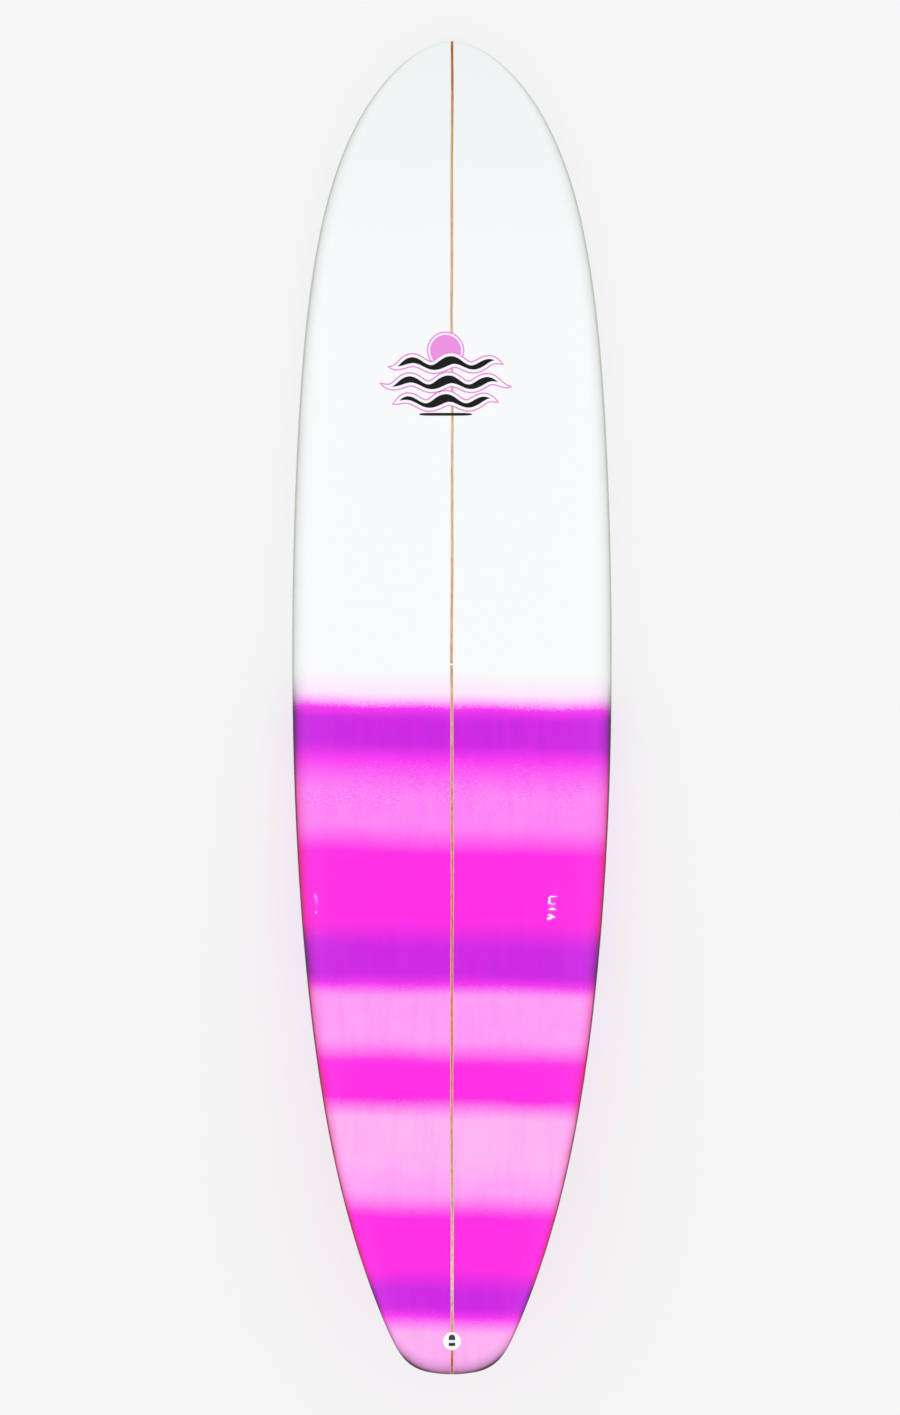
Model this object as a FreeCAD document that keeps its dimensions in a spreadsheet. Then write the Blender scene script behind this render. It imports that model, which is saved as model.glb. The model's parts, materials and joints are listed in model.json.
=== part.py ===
"""A 7 ft 6 in round-nosed surfboard: foam, stringer, glass, leash plug, centre fin and side fins.

The board is drawn in a shaper's frame: +X to the rider's right, +Y towards the nose with the tail
end at Y 0, +Z out of the deck, Z 0 at the lowest point of the bottom. Every sub-part is then given
the placement that sets the board down on its centre fin and the forward part of its bottom.
"""

import FreeCAD, Part

import math
import os

import Sketcher

V = FreeCAD.Vector
Placement = FreeCAD.Placement
Rotation = FreeCAD.Rotation

SHEET = "Dimensions"

# Name, value in millimetres (degrees or a plain ratio where the note says so), what it sets.
DIMENSIONS = (
    ("board_length", 2286, "tail end to nose tip, 7 ft 6 in"),
    ("board_thickness", 70, "deck to bottom at the thickest point, 2 3/4 in"),
    ("thick_point", 1200, "tail end to the thickest point"),
    ("tail_thickness", 26, "thickness the foil runs out to at the tail"),
    ("nose_thickness", 20, "thickness the foil runs out to at the nose"),
    ("tip_rounding", 16, "length over which each end is rounded off in side view"),
    ("flat_point", 1000, "tail end to the lowest point of the bottom"),
    ("tail_rocker", 58, "lift of the bottom at the tail end"),
    ("nose_rocker", 115, "lift of the bottom at the nose tip"),
    ("rail_ratio", 0.42, "ratio: share of the thickness that lies below the rail line"),
    ("glass_thickness", 1.0, "glass cloth and resin on each side"),
    ("stringer_thickness", 4.8, "width of the wooden stringer, 3/16 in"),
    ("emblem_length", 166, "printed tissue, along the board"),
    ("emblem_width", 244, "printed tissue, across the board"),
    ("emblem_thickness", 0.3, "printed tissue with its resin"),
    ("emblem_from_nose", 564, "nose tip to the middle of the emblem"),
    ("emblem_offset", 11, "middle of the emblem, left of the stringer"),
    ("cup_from_tail", 58, "tail end to the middle of the leash plug"),
    ("cup_radius", 15.75, "leash plug, 1 1/4 in across"),
    ("cup_depth", 18, "leash plug, rim to base"),
    ("cup_rim_rounding", 0.8, "edge of the leash plug's rim"),
    ("cavity_width", 11, "leash plug's opening, across the board"),
    ("cavity_length", 19.6, "leash plug's opening, along the board"),
    ("cavity_depth", 14, "leash plug's opening, down from the rim"),
    ("cavity_shift", 1.4, "middle of the plug forward to the middle of the opening"),
    ("bar_radius", 2.7, "pin that the leash string is looped round"),
    ("bar_length", 23, "the same pin, end to end"),
    ("bar_depth", 4.6, "rim down to the pin's axis"),
    ("bar_offset", 0.6, "middle of the plug back to the pin's axis"),
    ("box_from_tail", 234, "tail end to the middle of the centre fin box"),
    ("box_length", 273, "centre fin box, 10 3/4 in"),
    ("box_width", 28.6, "centre fin box, 1 1/8 in"),
    ("box_depth", 25, "centre fin box, face to base"),
    ("box_corner", 5, "radius of the box's upright corners"),
    ("sanding", 3, "what stands proud of box and plugs until they are sanded flush"),
    ("slot_length", 254, "box's slot, 10 in"),
    ("slot_width", 9.6, "box's slot, 3/8 in"),
    ("slot_depth", 20, "box's slot, down from the face"),
    ("groove_width", 13.2, "undercut grooves, across both"),
    ("groove_top", 6.5, "face down to the grooves' upper lip"),
    ("groove_bottom", 10, "face down to the grooves' lower lip"),
    ("entry_length", 15, "gap in the lips where pin and plate are dropped in"),
    ("tab_length", 150, "centre fin's base inside the slot"),
    ("tab_width", 9.4, "the same, across"),
    ("tab_depth", 19.5, "the same, down from the box's face"),
    ("lug_length", 18, "tongue in front of the tab, for the screw"),
    ("lug_top", 3.5, "face down to the tongue's upper side"),
    ("lug_bottom", 6.2, "face down to the tongue's lower side"),
    ("fin_gap", 0.4, "air between the board and the fins' bases"),
    ("fin_base", 150, "centre fin, chord at its base"),
    ("fin_depth", 165, "centre fin, base to tip, 6 1/2 in"),
    ("fin_rake", 111, "centre fin, how far the tip lies behind the base"),
    ("fin_foil", 9.0, "centre fin, thickness at its base"),
    ("roll_pin_radius", 1.6, "cross pin at the back of the tab"),
    ("roll_pin_length", 12.8, "the same, end to end"),
    ("roll_pin_depth", 8.25, "face down to the pin's axis"),
    ("roll_pin_inset", 10, "back of the tab to the pin's axis"),
    ("plate_side", 12.6, "square threaded plate"),
    ("plate_top", 6.7, "face down to the plate"),
    ("plate_thickness", 2.4, "the same plate"),
    ("screw_radius", 1.95, "fin screw's shank, M4"),
    ("screw_hole_radius", 2.0, "its holes in tongue and plate"),
    ("screw_head_radius", 3.8, "fin screw's pan head"),
    ("screw_head_height", 2.2, "the same head"),
    ("screw_end", 12, "face down to the end of the screw"),
    ("screw_cross", 1.0, "width of the driver's cross in the head"),
    ("side_along", 352, "tail end to the middle of the side fins"),
    ("side_out", 150, "stringer to the side fins"),
    ("side_cant", 4, "degrees: lean of the side fins out of square to the bottom"),
    ("side_toe", 2.5, "degrees: side fins' leading edges, turned in"),
    ("side_base", 104, "side fin, chord at its base"),
    ("side_depth", 92, "side fin, base to tip"),
    ("side_rake", 60, "side fin, how far the tip lies behind the base"),
    ("side_foil", 6.4, "side fin, thickness at its base"),
    ("plug_radius", 14, "side fin plug"),
    ("plug_depth", 16, "side fin plug"),
    ("plug_spacing", 64, "between the two plugs of a side fin"),
    ("side_tab_length", 16, "side fin's tab, along"),
    ("side_tab_width", 6.0, "side fin's tab, across"),
    ("side_tab_depth", 12, "side fin's tab, down from the bottom"),
    ("side_tab_play", 0.1, "room round the tab in its plug"),
    ("grub_radius", 2.5, "grub screw, M5"),
    ("grub_length", 7.4, "grub screw"),
    ("grub_sink", 0.8, "grub screw's head below the plug's face"),
    ("grub_offset", 8.2, "fin's middle plane to the grub screw at the face"),
    ("grub_tilt", 20, "degrees: lean of the grub screw towards the tab"),
    ("grub_key", 2.6, "hex key across its flats"),
    ("grub_key_depth", 3, "depth of the hex socket"),
)

# The plan outline, tail to nose: name, distance from the tail end, half width.
OUTLINE = (
    ("tail_block", 1.6, 26),
    ("tail_corner", 9, 58),
    ("tail_turn", 24, 80),
    ("tail_hip", 58, 102),
    ("tail_run", 130, 133),
    ("foot_aft", 305, 188),
    ("aft", 610, 242),
    ("middle_aft", 950, 269),
    ("wide_point", 1293, 275),
    ("fore", 1636, 264),
    ("shoulder", 1911, 236),
    ("foot_fore", 2116, 178),
    ("nose_curve", 2216, 116),
    ("nose_round", 2269, 54),
)

# Points in each ring round the board, and which of them lie where; rings from tail to nose.
RAIL_POINTS = 28
BOTTOM_MIDDLE = 0
LAP_LINE = 5
DECK_MIDDLE = RAIL_POINTS // 2
SIDE_SAMPLES = 46

doc = FreeCAD.newDocument("surfboard")
sheet = doc.addObject("Spreadsheet::Sheet", SHEET)


def fill_sheet():
    """Write every driving dimension into the sheet, one alias to a row."""
    rows = list(DIMENSIONS)
    for name, along, half_width in OUTLINE:
        rows.append((name + "_along", along, "outline: distance from the tail end"))
        rows.append((name + "_half", half_width, "outline: half width there"))
    for number, (alias, value, note) in enumerate(rows, start=1):
        sheet.set("A%d" % number, alias)
        sheet.set("B%d" % number, str(value))
        sheet.set("C%d" % number, note)
        sheet.setAlias("B%d" % number, alias)
    doc.recompute()


def size(alias):
    """A dimension's value, read from the sheet."""
    return float(sheet.get(alias))


def bind(item, **formulas):
    """Bind properties of an object to formulas in which each {name} is a cell of the sheet."""
    for prop, formula in formulas.items():
        item.setExpression(prop, cell(formula))
    return item


def cell(formula):
    """Expand the {name} marks of a formula into references to the sheet."""
    return formula.replace("{", SHEET + ".").replace("}", "")


# ---------------------------------------------------------------- the hull's curves


def outline_curve():
    """The plan outline's curve, with the places on it of the tail end and the nose tip.

    It runs on for a few points past both ends, down the left rail, so that it rounds each end evenly.
    """
    right = [V(size(name + "_half"), size(name + "_along"), 0) for name, _, _ in OUTLINE]
    left = [V(-point.x, point.y, 0) for point in right]
    tail, nose = V(0, 0, 0), V(0, size("board_length"), 0)
    curve = Part.BSplineCurve()
    curve.interpolate(Points=left[5::-1] + [tail] + right + [nose] + left[:-7:-1])
    return curve, curve.parameter(tail), curve.parameter(nose)


def bottom_height(along):
    """Height of the bottom's centreline: two rockers that meet level at the flat point."""
    flat = size("flat_point")
    if along < flat:
        return size("tail_rocker") * ((flat - along) / flat) ** 2.2
    return size("nose_rocker") * ((along - flat) / (size("board_length") - flat)) ** 2.6


def foil_thickness(along):
    """Thickness of the board, running out from the thickest point to both ends."""
    thick = size("thick_point")
    if along < thick:
        end, share = size("tail_thickness"), (thick - along) / thick
    else:
        end, share = size("nose_thickness"), (along - thick) / (size("board_length") - thick)
    return end + (size("board_thickness") - end) * (1 - min(share, 1) ** 2.4)


def end_rounding(along):
    """A quarter ellipse over the last few millimetres at each end, 1 everywhere else."""
    left = min(along, size("board_length") - along) / size("tip_rounding")
    if left >= 1:
        return 1.0
    return math.sqrt(max(0.0, 1 - (1 - left) ** 2))


def cross_section(half_width, along):
    """One ring of points round the board, from the bottom's middle up the right rail and back."""
    thickness = foil_thickness(along)
    rail = bottom_height(along) + size("rail_ratio") * thickness
    rise = (1 - size("rail_ratio")) * thickness * end_rounding(along)
    drop = size("rail_ratio") * thickness * end_rounding(along)
    ring = []
    for index in range(RAIL_POINTS):
        angle = 2 * math.pi * index / RAIL_POINTS - math.pi / 2
        across = abs(math.cos(angle))
        if math.sin(angle) >= 0:
            height = rise * math.sqrt(max(0.0, 1 - across ** 2.8))
        else:
            height = -drop * math.sqrt(max(0.0, 1 - across ** 5))
        ring.append(V(half_width * math.cos(angle), along, rail + height))
    return ring


def hull_rings():
    """Rings from tail to nose with their places along the outline; each end ring is one point."""
    curve, first, last = outline_curve()
    places, rings = [], []
    for index in range(SIDE_SAMPLES + 1):
        share = index / SIDE_SAMPLES
        place = share - 0.13 * math.sin(2 * math.pi * share)
        point = curve.value(first + (last - first) * place)
        places.append(place)
        rings.append(cross_section(point.x, point.y))
    for end in (0, -1):
        rings[end] = [rings[end][RAIL_POINTS // 4]] * RAIL_POINTS
    return places, rings


def skinned_surface(places, rings):
    """A surface through rings of points, closed round each ring and smooth from ring to ring."""
    count = len(rings[0])
    around = [index / count for index in range(count + 1)]
    ring_poles = []
    for ring in rings:
        if ring[0].distanceToPoint(ring[count // 3]) < 1e-9:
            ring_poles.append(None)
            continue
        loop = Part.BSplineCurve()
        loop.interpolate(Points=ring, Parameters=around, PeriodicFlag=True)
        ring_poles.append(loop.getPoles())
    poles = []
    for column in range(loop.NbPoles):
        points = []
        for ring, fitted in zip(rings, ring_poles):
            points.append(ring[0] if fitted is None else fitted[column])
        line = Part.BSplineCurve()
        line.interpolate(Points=points, Parameters=places)
        poles.append(line.getPoles())
    surface = Part.BSplineSurface()
    surface.buildFromPolesMultsKnots(
        poles, loop.getMultiplicities(), line.getMultiplicities(),
        loop.getKnots(), line.getKnots(), True, False, 3, 3)
    return surface


def closed_solid(faces):
    """A solid bounded by the given faces, turned the right way out."""
    solid = Part.Solid(Part.Shell(faces))
    if not solid.isValid():
        solid.fix(1e-6, 1e-6, 1e-3)
    if solid.Volume < 0:
        solid.reverse()
    return solid


def inset_rings(surface, places, rings, inset):
    """The hull's rings moved inwards by an even distance, square to the surface."""
    moved = []
    for place, ring in zip(places, rings):
        if place in (places[0], places[-1]):
            towards = 1 if place == places[0] else -1
            moved.append([point + V(0, towards * inset, 0) for point in ring])
            continue
        middle = (ring[BOTTOM_MIDDLE] + ring[DECK_MIDDLE]) / 2
        row = []
        for index, point in enumerate(ring):
            normal = surface.normal(index / RAIL_POINTS, place)
            if normal.dot(point - middle) > 0:
                normal = -normal
            row.append(point + normal * inset)
        moved.append(row)
    return moved


def feature(name, shape, placement=Placement()):
    """A free-form shape as an object of the document."""
    item = doc.addObject("Part::Feature", name)
    item.Shape = shape
    item.Placement = placement
    return item


# ---------------------------------------------------------------- helpers for plain pieces


def box(name, frame, across, along, depth, middle_y="0", top="0"):
    """A block centred across its frame, from its top plane down; sizes are sheet formulas."""
    item = doc.addObject("Part::Box", name)
    bind(item, Length=across, Width=along, Height=depth)
    doc.recompute()
    corner = V(
        -item.Length.Value / 2,
        evaluate(middle_y) - item.Width.Value / 2,
        evaluate(top) - item.Height.Value)
    item.Placement = frame.multiply(Placement(corner, Rotation()))
    return item


def evaluate(formula):
    """The number a sheet formula stands for."""
    value = sheet.evalExpression(cell(formula))
    return float(getattr(value, "Value", value))


def cylinder(name, frame, radius, length, base=V(0, 0, 0), turn=Rotation()):
    """A cylinder that starts at base in its frame and runs along +Z after the turn."""
    item = doc.addObject("Part::Cylinder", name)
    bind(item, Radius=radius, Height=length)
    item.Placement = frame.multiply(Placement(base, turn))
    return item


def fuse(name, items):
    """The union of several objects."""
    item = doc.addObject("Part::MultiFuse", name)
    item.Shapes = items
    return item


def cut(name, base, tool):
    """One object less another."""
    item = doc.addObject("Part::Cut", name)
    item.Base = base
    item.Tool = tool
    return item


def common(name, base, tool):
    """What two objects share."""
    item = doc.addObject("Part::Common", name)
    item.Base = base
    item.Tool = tool
    return item


def new_body(name, frame):
    """An empty PartDesign body standing in a frame."""
    body = doc.addObject("PartDesign::Body", name)
    body.Placement = frame
    return body


def new_sketch(body, name, role, lift="0"):
    """A sketch on one of the body's own origin planes, raised from it by a sheet formula."""
    sketch = body.newObject("Sketcher::SketchObject", name)
    plane = [item for item in body.Origin.OriginFeatures if item.Role == role][0]
    sketch.AttachmentSupport = [(plane, "")]
    sketch.MapMode = "FlatFace"
    sketch.setExpression(".AttachmentOffset.Base.z", cell(lift))
    return sketch


def draw_circle(sketch, radius):
    """A circle about the sketch's origin."""
    ring = sketch.addGeometry(Part.Circle(V(0, 0, 0), V(0, 0, 1), evaluate(radius)))
    sketch.addConstraint(Sketcher.Constraint("Coincident", ring, 3, -1, 1))
    number = sketch.addConstraint(Sketcher.Constraint("Radius", ring, evaluate(radius)))
    sketch.setExpression("Constraints[%d]" % number, cell(radius))


def draw_rectangle(sketch, across, along):
    """A rectangle about the sketch's origin."""
    half_x, half_y = evaluate(across) / 2, evaluate(along) / 2
    corners = [V(-half_x, -half_y), V(half_x, -half_y), V(half_x, half_y), V(-half_x, half_y)]
    sides = []
    for index in range(4):
        sides.append(sketch.addGeometry(Part.LineSegment(corners[index], corners[(index + 1) % 4])))
    for index, side in enumerate(sides):
        sketch.addConstraint(Sketcher.Constraint("Coincident", side, 2, sides[(index + 1) % 4], 1))
        sketch.addConstraint(Sketcher.Constraint("Vertical" if index % 2 else "Horizontal", side))
    sketch.addConstraint(Sketcher.Constraint("Symmetric", sides[0], 1, sides[2], 1, -1, 1))
    lengths = (("DistanceX", sides[0], across), ("DistanceY", sides[1], along))
    for kind, side, formula in lengths:
        number = sketch.addConstraint(Sketcher.Constraint(kind, side, 1, side, 2, evaluate(formula)))
        sketch.setExpression("Constraints[%d]" % number, cell(formula))


def draw_hexagon(sketch, flats):
    """A regular hexagon about the sketch's origin, sized across its flats."""
    reach = evaluate(flats) / math.sqrt(3)
    corners, sides = [], []
    for index in range(6):
        turn = index * math.pi / 3
        corners.append(V(reach * math.cos(turn), reach * math.sin(turn)))
    for index in range(6):
        sides.append(sketch.addGeometry(Part.LineSegment(corners[index], corners[(index + 1) % 6])))
    round_it = sketch.addGeometry(Part.Circle(V(0, 0, 0), V(0, 0, 1), reach), True)
    sketch.addConstraint(Sketcher.Constraint("Coincident", round_it, 3, -1, 1))
    for index, side in enumerate(sides):
        sketch.addConstraint(Sketcher.Constraint("Coincident", side, 2, sides[(index + 1) % 6], 1))
        sketch.addConstraint(Sketcher.Constraint("PointOnObject", side, 1, round_it))
        if index:
            sketch.addConstraint(Sketcher.Constraint("Equal", sides[0], side))
    sketch.addConstraint(Sketcher.Constraint("PointOnObject", sides[0], 1, -1))
    number = sketch.addConstraint(Sketcher.Constraint("Radius", round_it, reach))
    sketch.setExpression("Constraints[%d]" % number, cell(flats) + " / sqrt(3)")


def add_pad(body, sketch, name, length, downwards=True):
    """Raise a sketch into a solid, downwards from its plane unless told otherwise."""
    pad = body.newObject("PartDesign::Pad", name)
    pad.Profile = sketch
    pad.Reversed = downwards
    pad.setExpression("Length", cell(length))
    return pad


def add_pocket(body, sketch, name, depth):
    """Sink a sketch into the body, downwards from its plane, and see that it removed something."""
    doc.recompute()
    before = body.Shape.Volume
    pocket = body.newObject("PartDesign::Pocket", name)
    pocket.Profile = sketch
    pocket.setExpression("Length", cell(depth))
    doc.recompute()
    if body.Shape.Volume >= before - 1e-6:
        raise RuntimeError("%s removed nothing" % name)
    return pocket


# ---------------------------------------------------------------- where the hardware goes


def surface_frame(hull, across, along, outwards):
    """A frame on the hull's skin: +Z outwards square to the skin, +Y towards the nose."""
    line = Part.makeLine(V(across, along, -300), V(across, along, 300))
    heights = [vertex.Z for vertex in hull.common(line).Vertexes]
    point = V(across, along, max(heights) if outwards.z > 0 else min(heights))
    surface = hull.Faces[0].Surface
    normal = surface.normal(*surface.parameter(point))
    if normal.dot(outwards) < 0:
        normal = -normal
    return frame_at(point, normal, V(0, 1, 0))


def frame_at(point, upwards, forwards):
    """A placement at a point, its Z axis exactly upwards and its Y axis as near forwards as fits."""
    return Placement(point, Rotation(forwards.cross(upwards), forwards, upwards, "ZYX"))


def fin_box_frame():
    """The centre fin box's frame: its two ends are level with the bottom's centreline."""
    middle, half = size("box_from_tail"), size("box_length") / 2
    back = V(0, middle - half, bottom_height(middle - half))
    front = V(0, middle + half, bottom_height(middle + half))
    along = (front - back).normalize()
    return frame_at((back + front) / 2, V(1, 0, 0).cross(along) * -1, along)


def side_fin_frame(hull, side):
    """A side fin's frame, side being 1 on the right: canted outwards and toed in."""
    skin = surface_frame(hull, side * size("side_out"), size("side_along"), V(0, 0, -1))
    cant = Rotation(V(0, 1, 0), -side * size("side_cant"))
    toe = Rotation(V(0, 0, 1), -side * size("side_toe"))
    return skin.multiply(Placement(V(0, 0, 0), cant.multiply(toe)))


# ---------------------------------------------------------------- sub-parts


def blade_chord(prefix, reach):
    """A fin's half chord and the chord's middle at a reach of 0 at its base to 1 at its tip."""
    half_chord = size(prefix + "_base") / 2 * math.sqrt(max(0.0, 1 - reach ** 1.2)) * (1 - 0.12 * reach)
    base_middle = -size("lug_length") / 2 if prefix == "fin" else 0.0
    return half_chord, base_middle - size(prefix + "_rake") * reach ** 2.3


def make_blade(name, frame, prefix, inner_side=0):
    """A fin's blade: foil sections from a flat base to a round tip.

    inner_side is 0 for a foil that is the same on both sides, else the sign of the nearly flat side.
    """
    depth, foil, gap = size(prefix + "_depth"), size(prefix + "_foil"), size("fin_gap")
    steps, count = 14, 24
    places, rings = [], []
    for step in range(steps + 1):
        place = step / steps
        reach = math.sin(place * math.pi / 2)
        half_chord, centre = blade_chord(prefix, reach)
        thickness = foil * (1 - 0.62 * reach) * math.sqrt(max(0.0, 1 - reach ** 8))
        ring = []
        for index in range(count):
            angle = 2 * math.pi * index / count
            lift = thickness / 2 * math.sin(angle) * (1 + 0.22 * math.cos(angle))
            if inner_side and lift * inner_side > 0:
                lift *= 0.2
            ring.append(V(lift, centre + half_chord * math.cos(angle), gap + depth * reach))
        places.append(place)
        rings.append(ring if step < steps else [V(0, centre, gap + depth)] * count)
    blade = skinned_surface(places, rings).toShape()
    foot = [edge for edge in blade.Edges if abs(edge.BoundBox.ZMax - gap) < 1e-6]
    base = Part.Face(Part.Wire(foot))
    return feature(name, closed_solid([blade, base]), frame)


def make_centre_fin(frame):
    """The centre fin: blade, slot tab and screw tongue in one moulding, drilled for pin and screw."""
    blade = make_blade("centre_fin_blade", frame, "fin")
    back = "-({tab_length} + {lug_length}) / 2"
    tab = box("centre_fin_tab", frame, "{tab_width}", "{tab_length}", "{tab_depth} + {fin_gap}",
              middle_y=back + " + {tab_length} / 2", top="{fin_gap}")
    lug = box("centre_fin_lug", frame, "{tab_width}", "{lug_length} + 2", "{lug_bottom} - {lug_top}",
              middle_y="({tab_length} + {lug_length}) / 2 - {lug_length} / 2 - 1", top="-{lug_top}")
    screw_hole = cylinder("centre_fin_screw_hole", frame, "{screw_hole_radius}", "{lug_bottom} + 1",
                          V(0, screw_place(), -size("lug_bottom") - 0.5))
    pin_hole = cylinder("centre_fin_pin_hole", frame, "{roll_pin_radius}", "{tab_width} + 2",
                        V(-size("tab_width") / 2 - 1, roll_pin_place(), -size("roll_pin_depth")),
                        Rotation(V(0, 1, 0), 90))
    solid = fuse("centre_fin_moulding", [blade, tab, lug])
    return cut("centre_fin", solid, fuse("centre_fin_holes", [screw_hole, pin_hole]))


def screw_place():
    """Place of the fin screw along the box, with the fin in the middle of its travel."""
    return (size("tab_length") + size("lug_length")) / 2 - size("lug_length") / 2


def roll_pin_place():
    """Place of the roll pin along the box, with the fin in the middle of its travel."""
    return -(size("tab_length") + size("lug_length")) / 2 + size("roll_pin_inset")


def make_fin_hardware(frame):
    """The roll pin, the threaded plate and the screw that hold the centre fin in its box."""
    pin = cylinder("fin_roll_pin", frame, "{roll_pin_radius}", "{roll_pin_length}",
                   V(-size("roll_pin_length") / 2, roll_pin_place(), -size("roll_pin_depth")),
                   Rotation(V(0, 1, 0), 90))
    at_screw = frame.multiply(Placement(V(0, screw_place(), 0), Rotation()))
    plate = new_body("fin_plate", at_screw)
    square = new_sketch(plate, "plate_square", "XY_Plane", "-{plate_top}")
    draw_rectangle(square, "{plate_side}", "{plate_side}")
    add_pad(plate, square, "plate_pad", "{plate_thickness}")
    thread = new_sketch(plate, "plate_thread", "XY_Plane", "-{plate_top}")
    draw_circle(thread, "{screw_hole_radius}")
    add_pocket(plate, thread, "plate_hole", "{plate_thickness}")
    screw = new_body("fin_screw", at_screw)
    head = new_sketch(screw, "screw_head", "XY_Plane", "-{lug_top}")
    draw_circle(head, "{screw_head_radius}")
    add_pad(screw, head, "screw_head_pad", "{screw_head_height}", downwards=False)
    shank = new_sketch(screw, "screw_shank", "XY_Plane", "-{lug_top}")
    draw_circle(shank, "{screw_radius}")
    add_pad(screw, shank, "screw_shank_pad", "{screw_end} - {lug_top}")
    for number, (across, along) in enumerate((("{screw_cross}", "5"), ("5", "{screw_cross}"))):
        slot = new_sketch(screw, "screw_cross_%d" % number, "XY_Plane", "-{lug_top} + {screw_head_height}")
        draw_rectangle(slot, across, along)
        add_pocket(screw, slot, "screw_cross_cut_%d" % number, "{screw_head_height} * 0.6")
    return [pin, plate, screw]


def make_fin_box(block, frame, hull):
    """The centre fin box, sanded flush: a slot, two undercut grooves and the entry gap in them."""
    over = "5"
    slot = box("box_slot", frame, "{slot_width}", "{slot_length}", "{slot_depth} + " + over, top=over)
    groove = box("box_grooves", frame, "{groove_width}", "{slot_length}",
                 "{groove_bottom} - {groove_top}", top="-{groove_top}")
    entry = box("box_entry", frame, "{groove_width}", "{entry_length}",
                "{groove_bottom} + " + over, top=over)
    hollow = fuse("box_hollow", [slot, groove, entry])
    return cut("centre_fin_box", common("box_flush", block, hull), hollow)


def make_fin_box_block(frame):
    """The outside of the centre fin box, with rounded upright corners."""
    body = new_body("box_block", frame)
    outline = new_sketch(body, "box_outline", "XY_Plane", "{sanding}")
    draw_rectangle(outline, "{box_width}", "{box_length}")
    pad = add_pad(body, outline, "box_pad", "{box_depth} + {sanding}")
    doc.recompute()
    upright = ["Edge%d" % number for number, edge in enumerate(pad.Shape.Edges, start=1)
               if abs(edge.tangentAt(edge.FirstParameter).z) > 0.99]
    rounding = body.newObject("PartDesign::Fillet", "box_corners")
    rounding.Base = (pad, upright)
    rounding.setExpression("Radius", cell("{box_corner}"))
    body.Tip = rounding
    return body


def make_leash_cup(frame):
    """The leash plug: a round cup with an opening that is arched at its nose end."""
    body = new_body("leash_cup", frame)
    rim = new_sketch(body, "cup_rim", "XY_Plane")
    draw_circle(rim, "{cup_radius}")
    pad = add_pad(body, rim, "cup_pad", "{cup_depth}")
    doc.recompute()
    edge = ["Edge%d" % number for number, edge in enumerate(pad.Shape.Edges, start=1)
            if edge.Closed and abs(edge.CenterOfMass.z) < 1e-6]
    rounding = body.newObject("PartDesign::Fillet", "cup_rim_rounding_cut")
    rounding.Base = (pad, edge)
    rounding.setExpression("Radius", cell("{cup_rim_rounding}"))
    body.Tip = rounding
    opening = new_sketch(body, "cup_opening", "XY_Plane")
    draw_arched_opening(opening)
    add_pocket(body, opening, "cup_cavity", "{cavity_depth}")
    bore = new_sketch(body, "cup_bar_bore", "YZ_Plane", "{bar_length} / 2")
    centre = V(-size("bar_offset"), -size("bar_depth"), 0)
    ring = bore.addGeometry(Part.Circle(centre, V(0, 0, 1), size("bar_radius")))
    places = (("DistanceX", "-{bar_offset}"), ("DistanceY", "-{bar_depth}"))
    for kind, formula in places:
        number = bore.addConstraint(Sketcher.Constraint(kind, -1, 1, ring, 3, evaluate(formula)))
        bore.setExpression("Constraints[%d]" % number, cell(formula))
    number = bore.addConstraint(Sketcher.Constraint("Radius", ring, size("bar_radius")))
    bore.setExpression("Constraints[%d]" % number, cell("{bar_radius}"))
    add_pocket(body, bore, "cup_bar_hole", "{bar_length}")
    return body


def draw_arched_opening(sketch):
    """The cup's opening: straight sides, a square tail end and a half-round nose end."""
    half = size("cavity_width") / 2
    tail_end = size("cavity_shift") - size("cavity_length") / 2
    spring = size("cavity_shift") + size("cavity_length") / 2 - half
    arch = sketch.addGeometry(Part.ArcOfCircle(Part.Circle(V(0, spring, 0), V(0, 0, 1), half), 0, math.pi))
    left = sketch.addGeometry(Part.LineSegment(V(-half, spring, 0), V(-half, tail_end, 0)))
    tail = sketch.addGeometry(Part.LineSegment(V(-half, tail_end, 0), V(half, tail_end, 0)))
    right = sketch.addGeometry(Part.LineSegment(V(half, tail_end, 0), V(half, spring, 0)))
    sketch.addConstraint(Sketcher.Constraint("Tangent", arch, 2, left, 1))
    sketch.addConstraint(Sketcher.Constraint("Coincident", left, 2, tail, 1))
    sketch.addConstraint(Sketcher.Constraint("Coincident", tail, 2, right, 1))
    sketch.addConstraint(Sketcher.Constraint("Tangent", right, 2, arch, 1))
    sketch.addConstraint(Sketcher.Constraint("Horizontal", tail))
    sketch.addConstraint(Sketcher.Constraint("Vertical", left))
    sketch.addConstraint(Sketcher.Constraint("PointOnObject", arch, 3, -2))
    radius = sketch.addConstraint(Sketcher.Constraint("Radius", arch, half))
    sketch.setExpression("Constraints[%d]" % radius, cell("{cavity_width} / 2"))
    low = sketch.addConstraint(Sketcher.Constraint("DistanceY", tail, 1, -1, 1, -tail_end))
    sketch.setExpression("Constraints[%d]" % low, cell("{cavity_length} / 2 - {cavity_shift}"))
    high = sketch.addConstraint(Sketcher.Constraint("DistanceY", -1, 1, arch, 3, spring))
    sketch.setExpression(
        "Constraints[%d]" % high, cell("({cavity_length} - {cavity_width}) / 2 + {cavity_shift}"))


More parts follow.
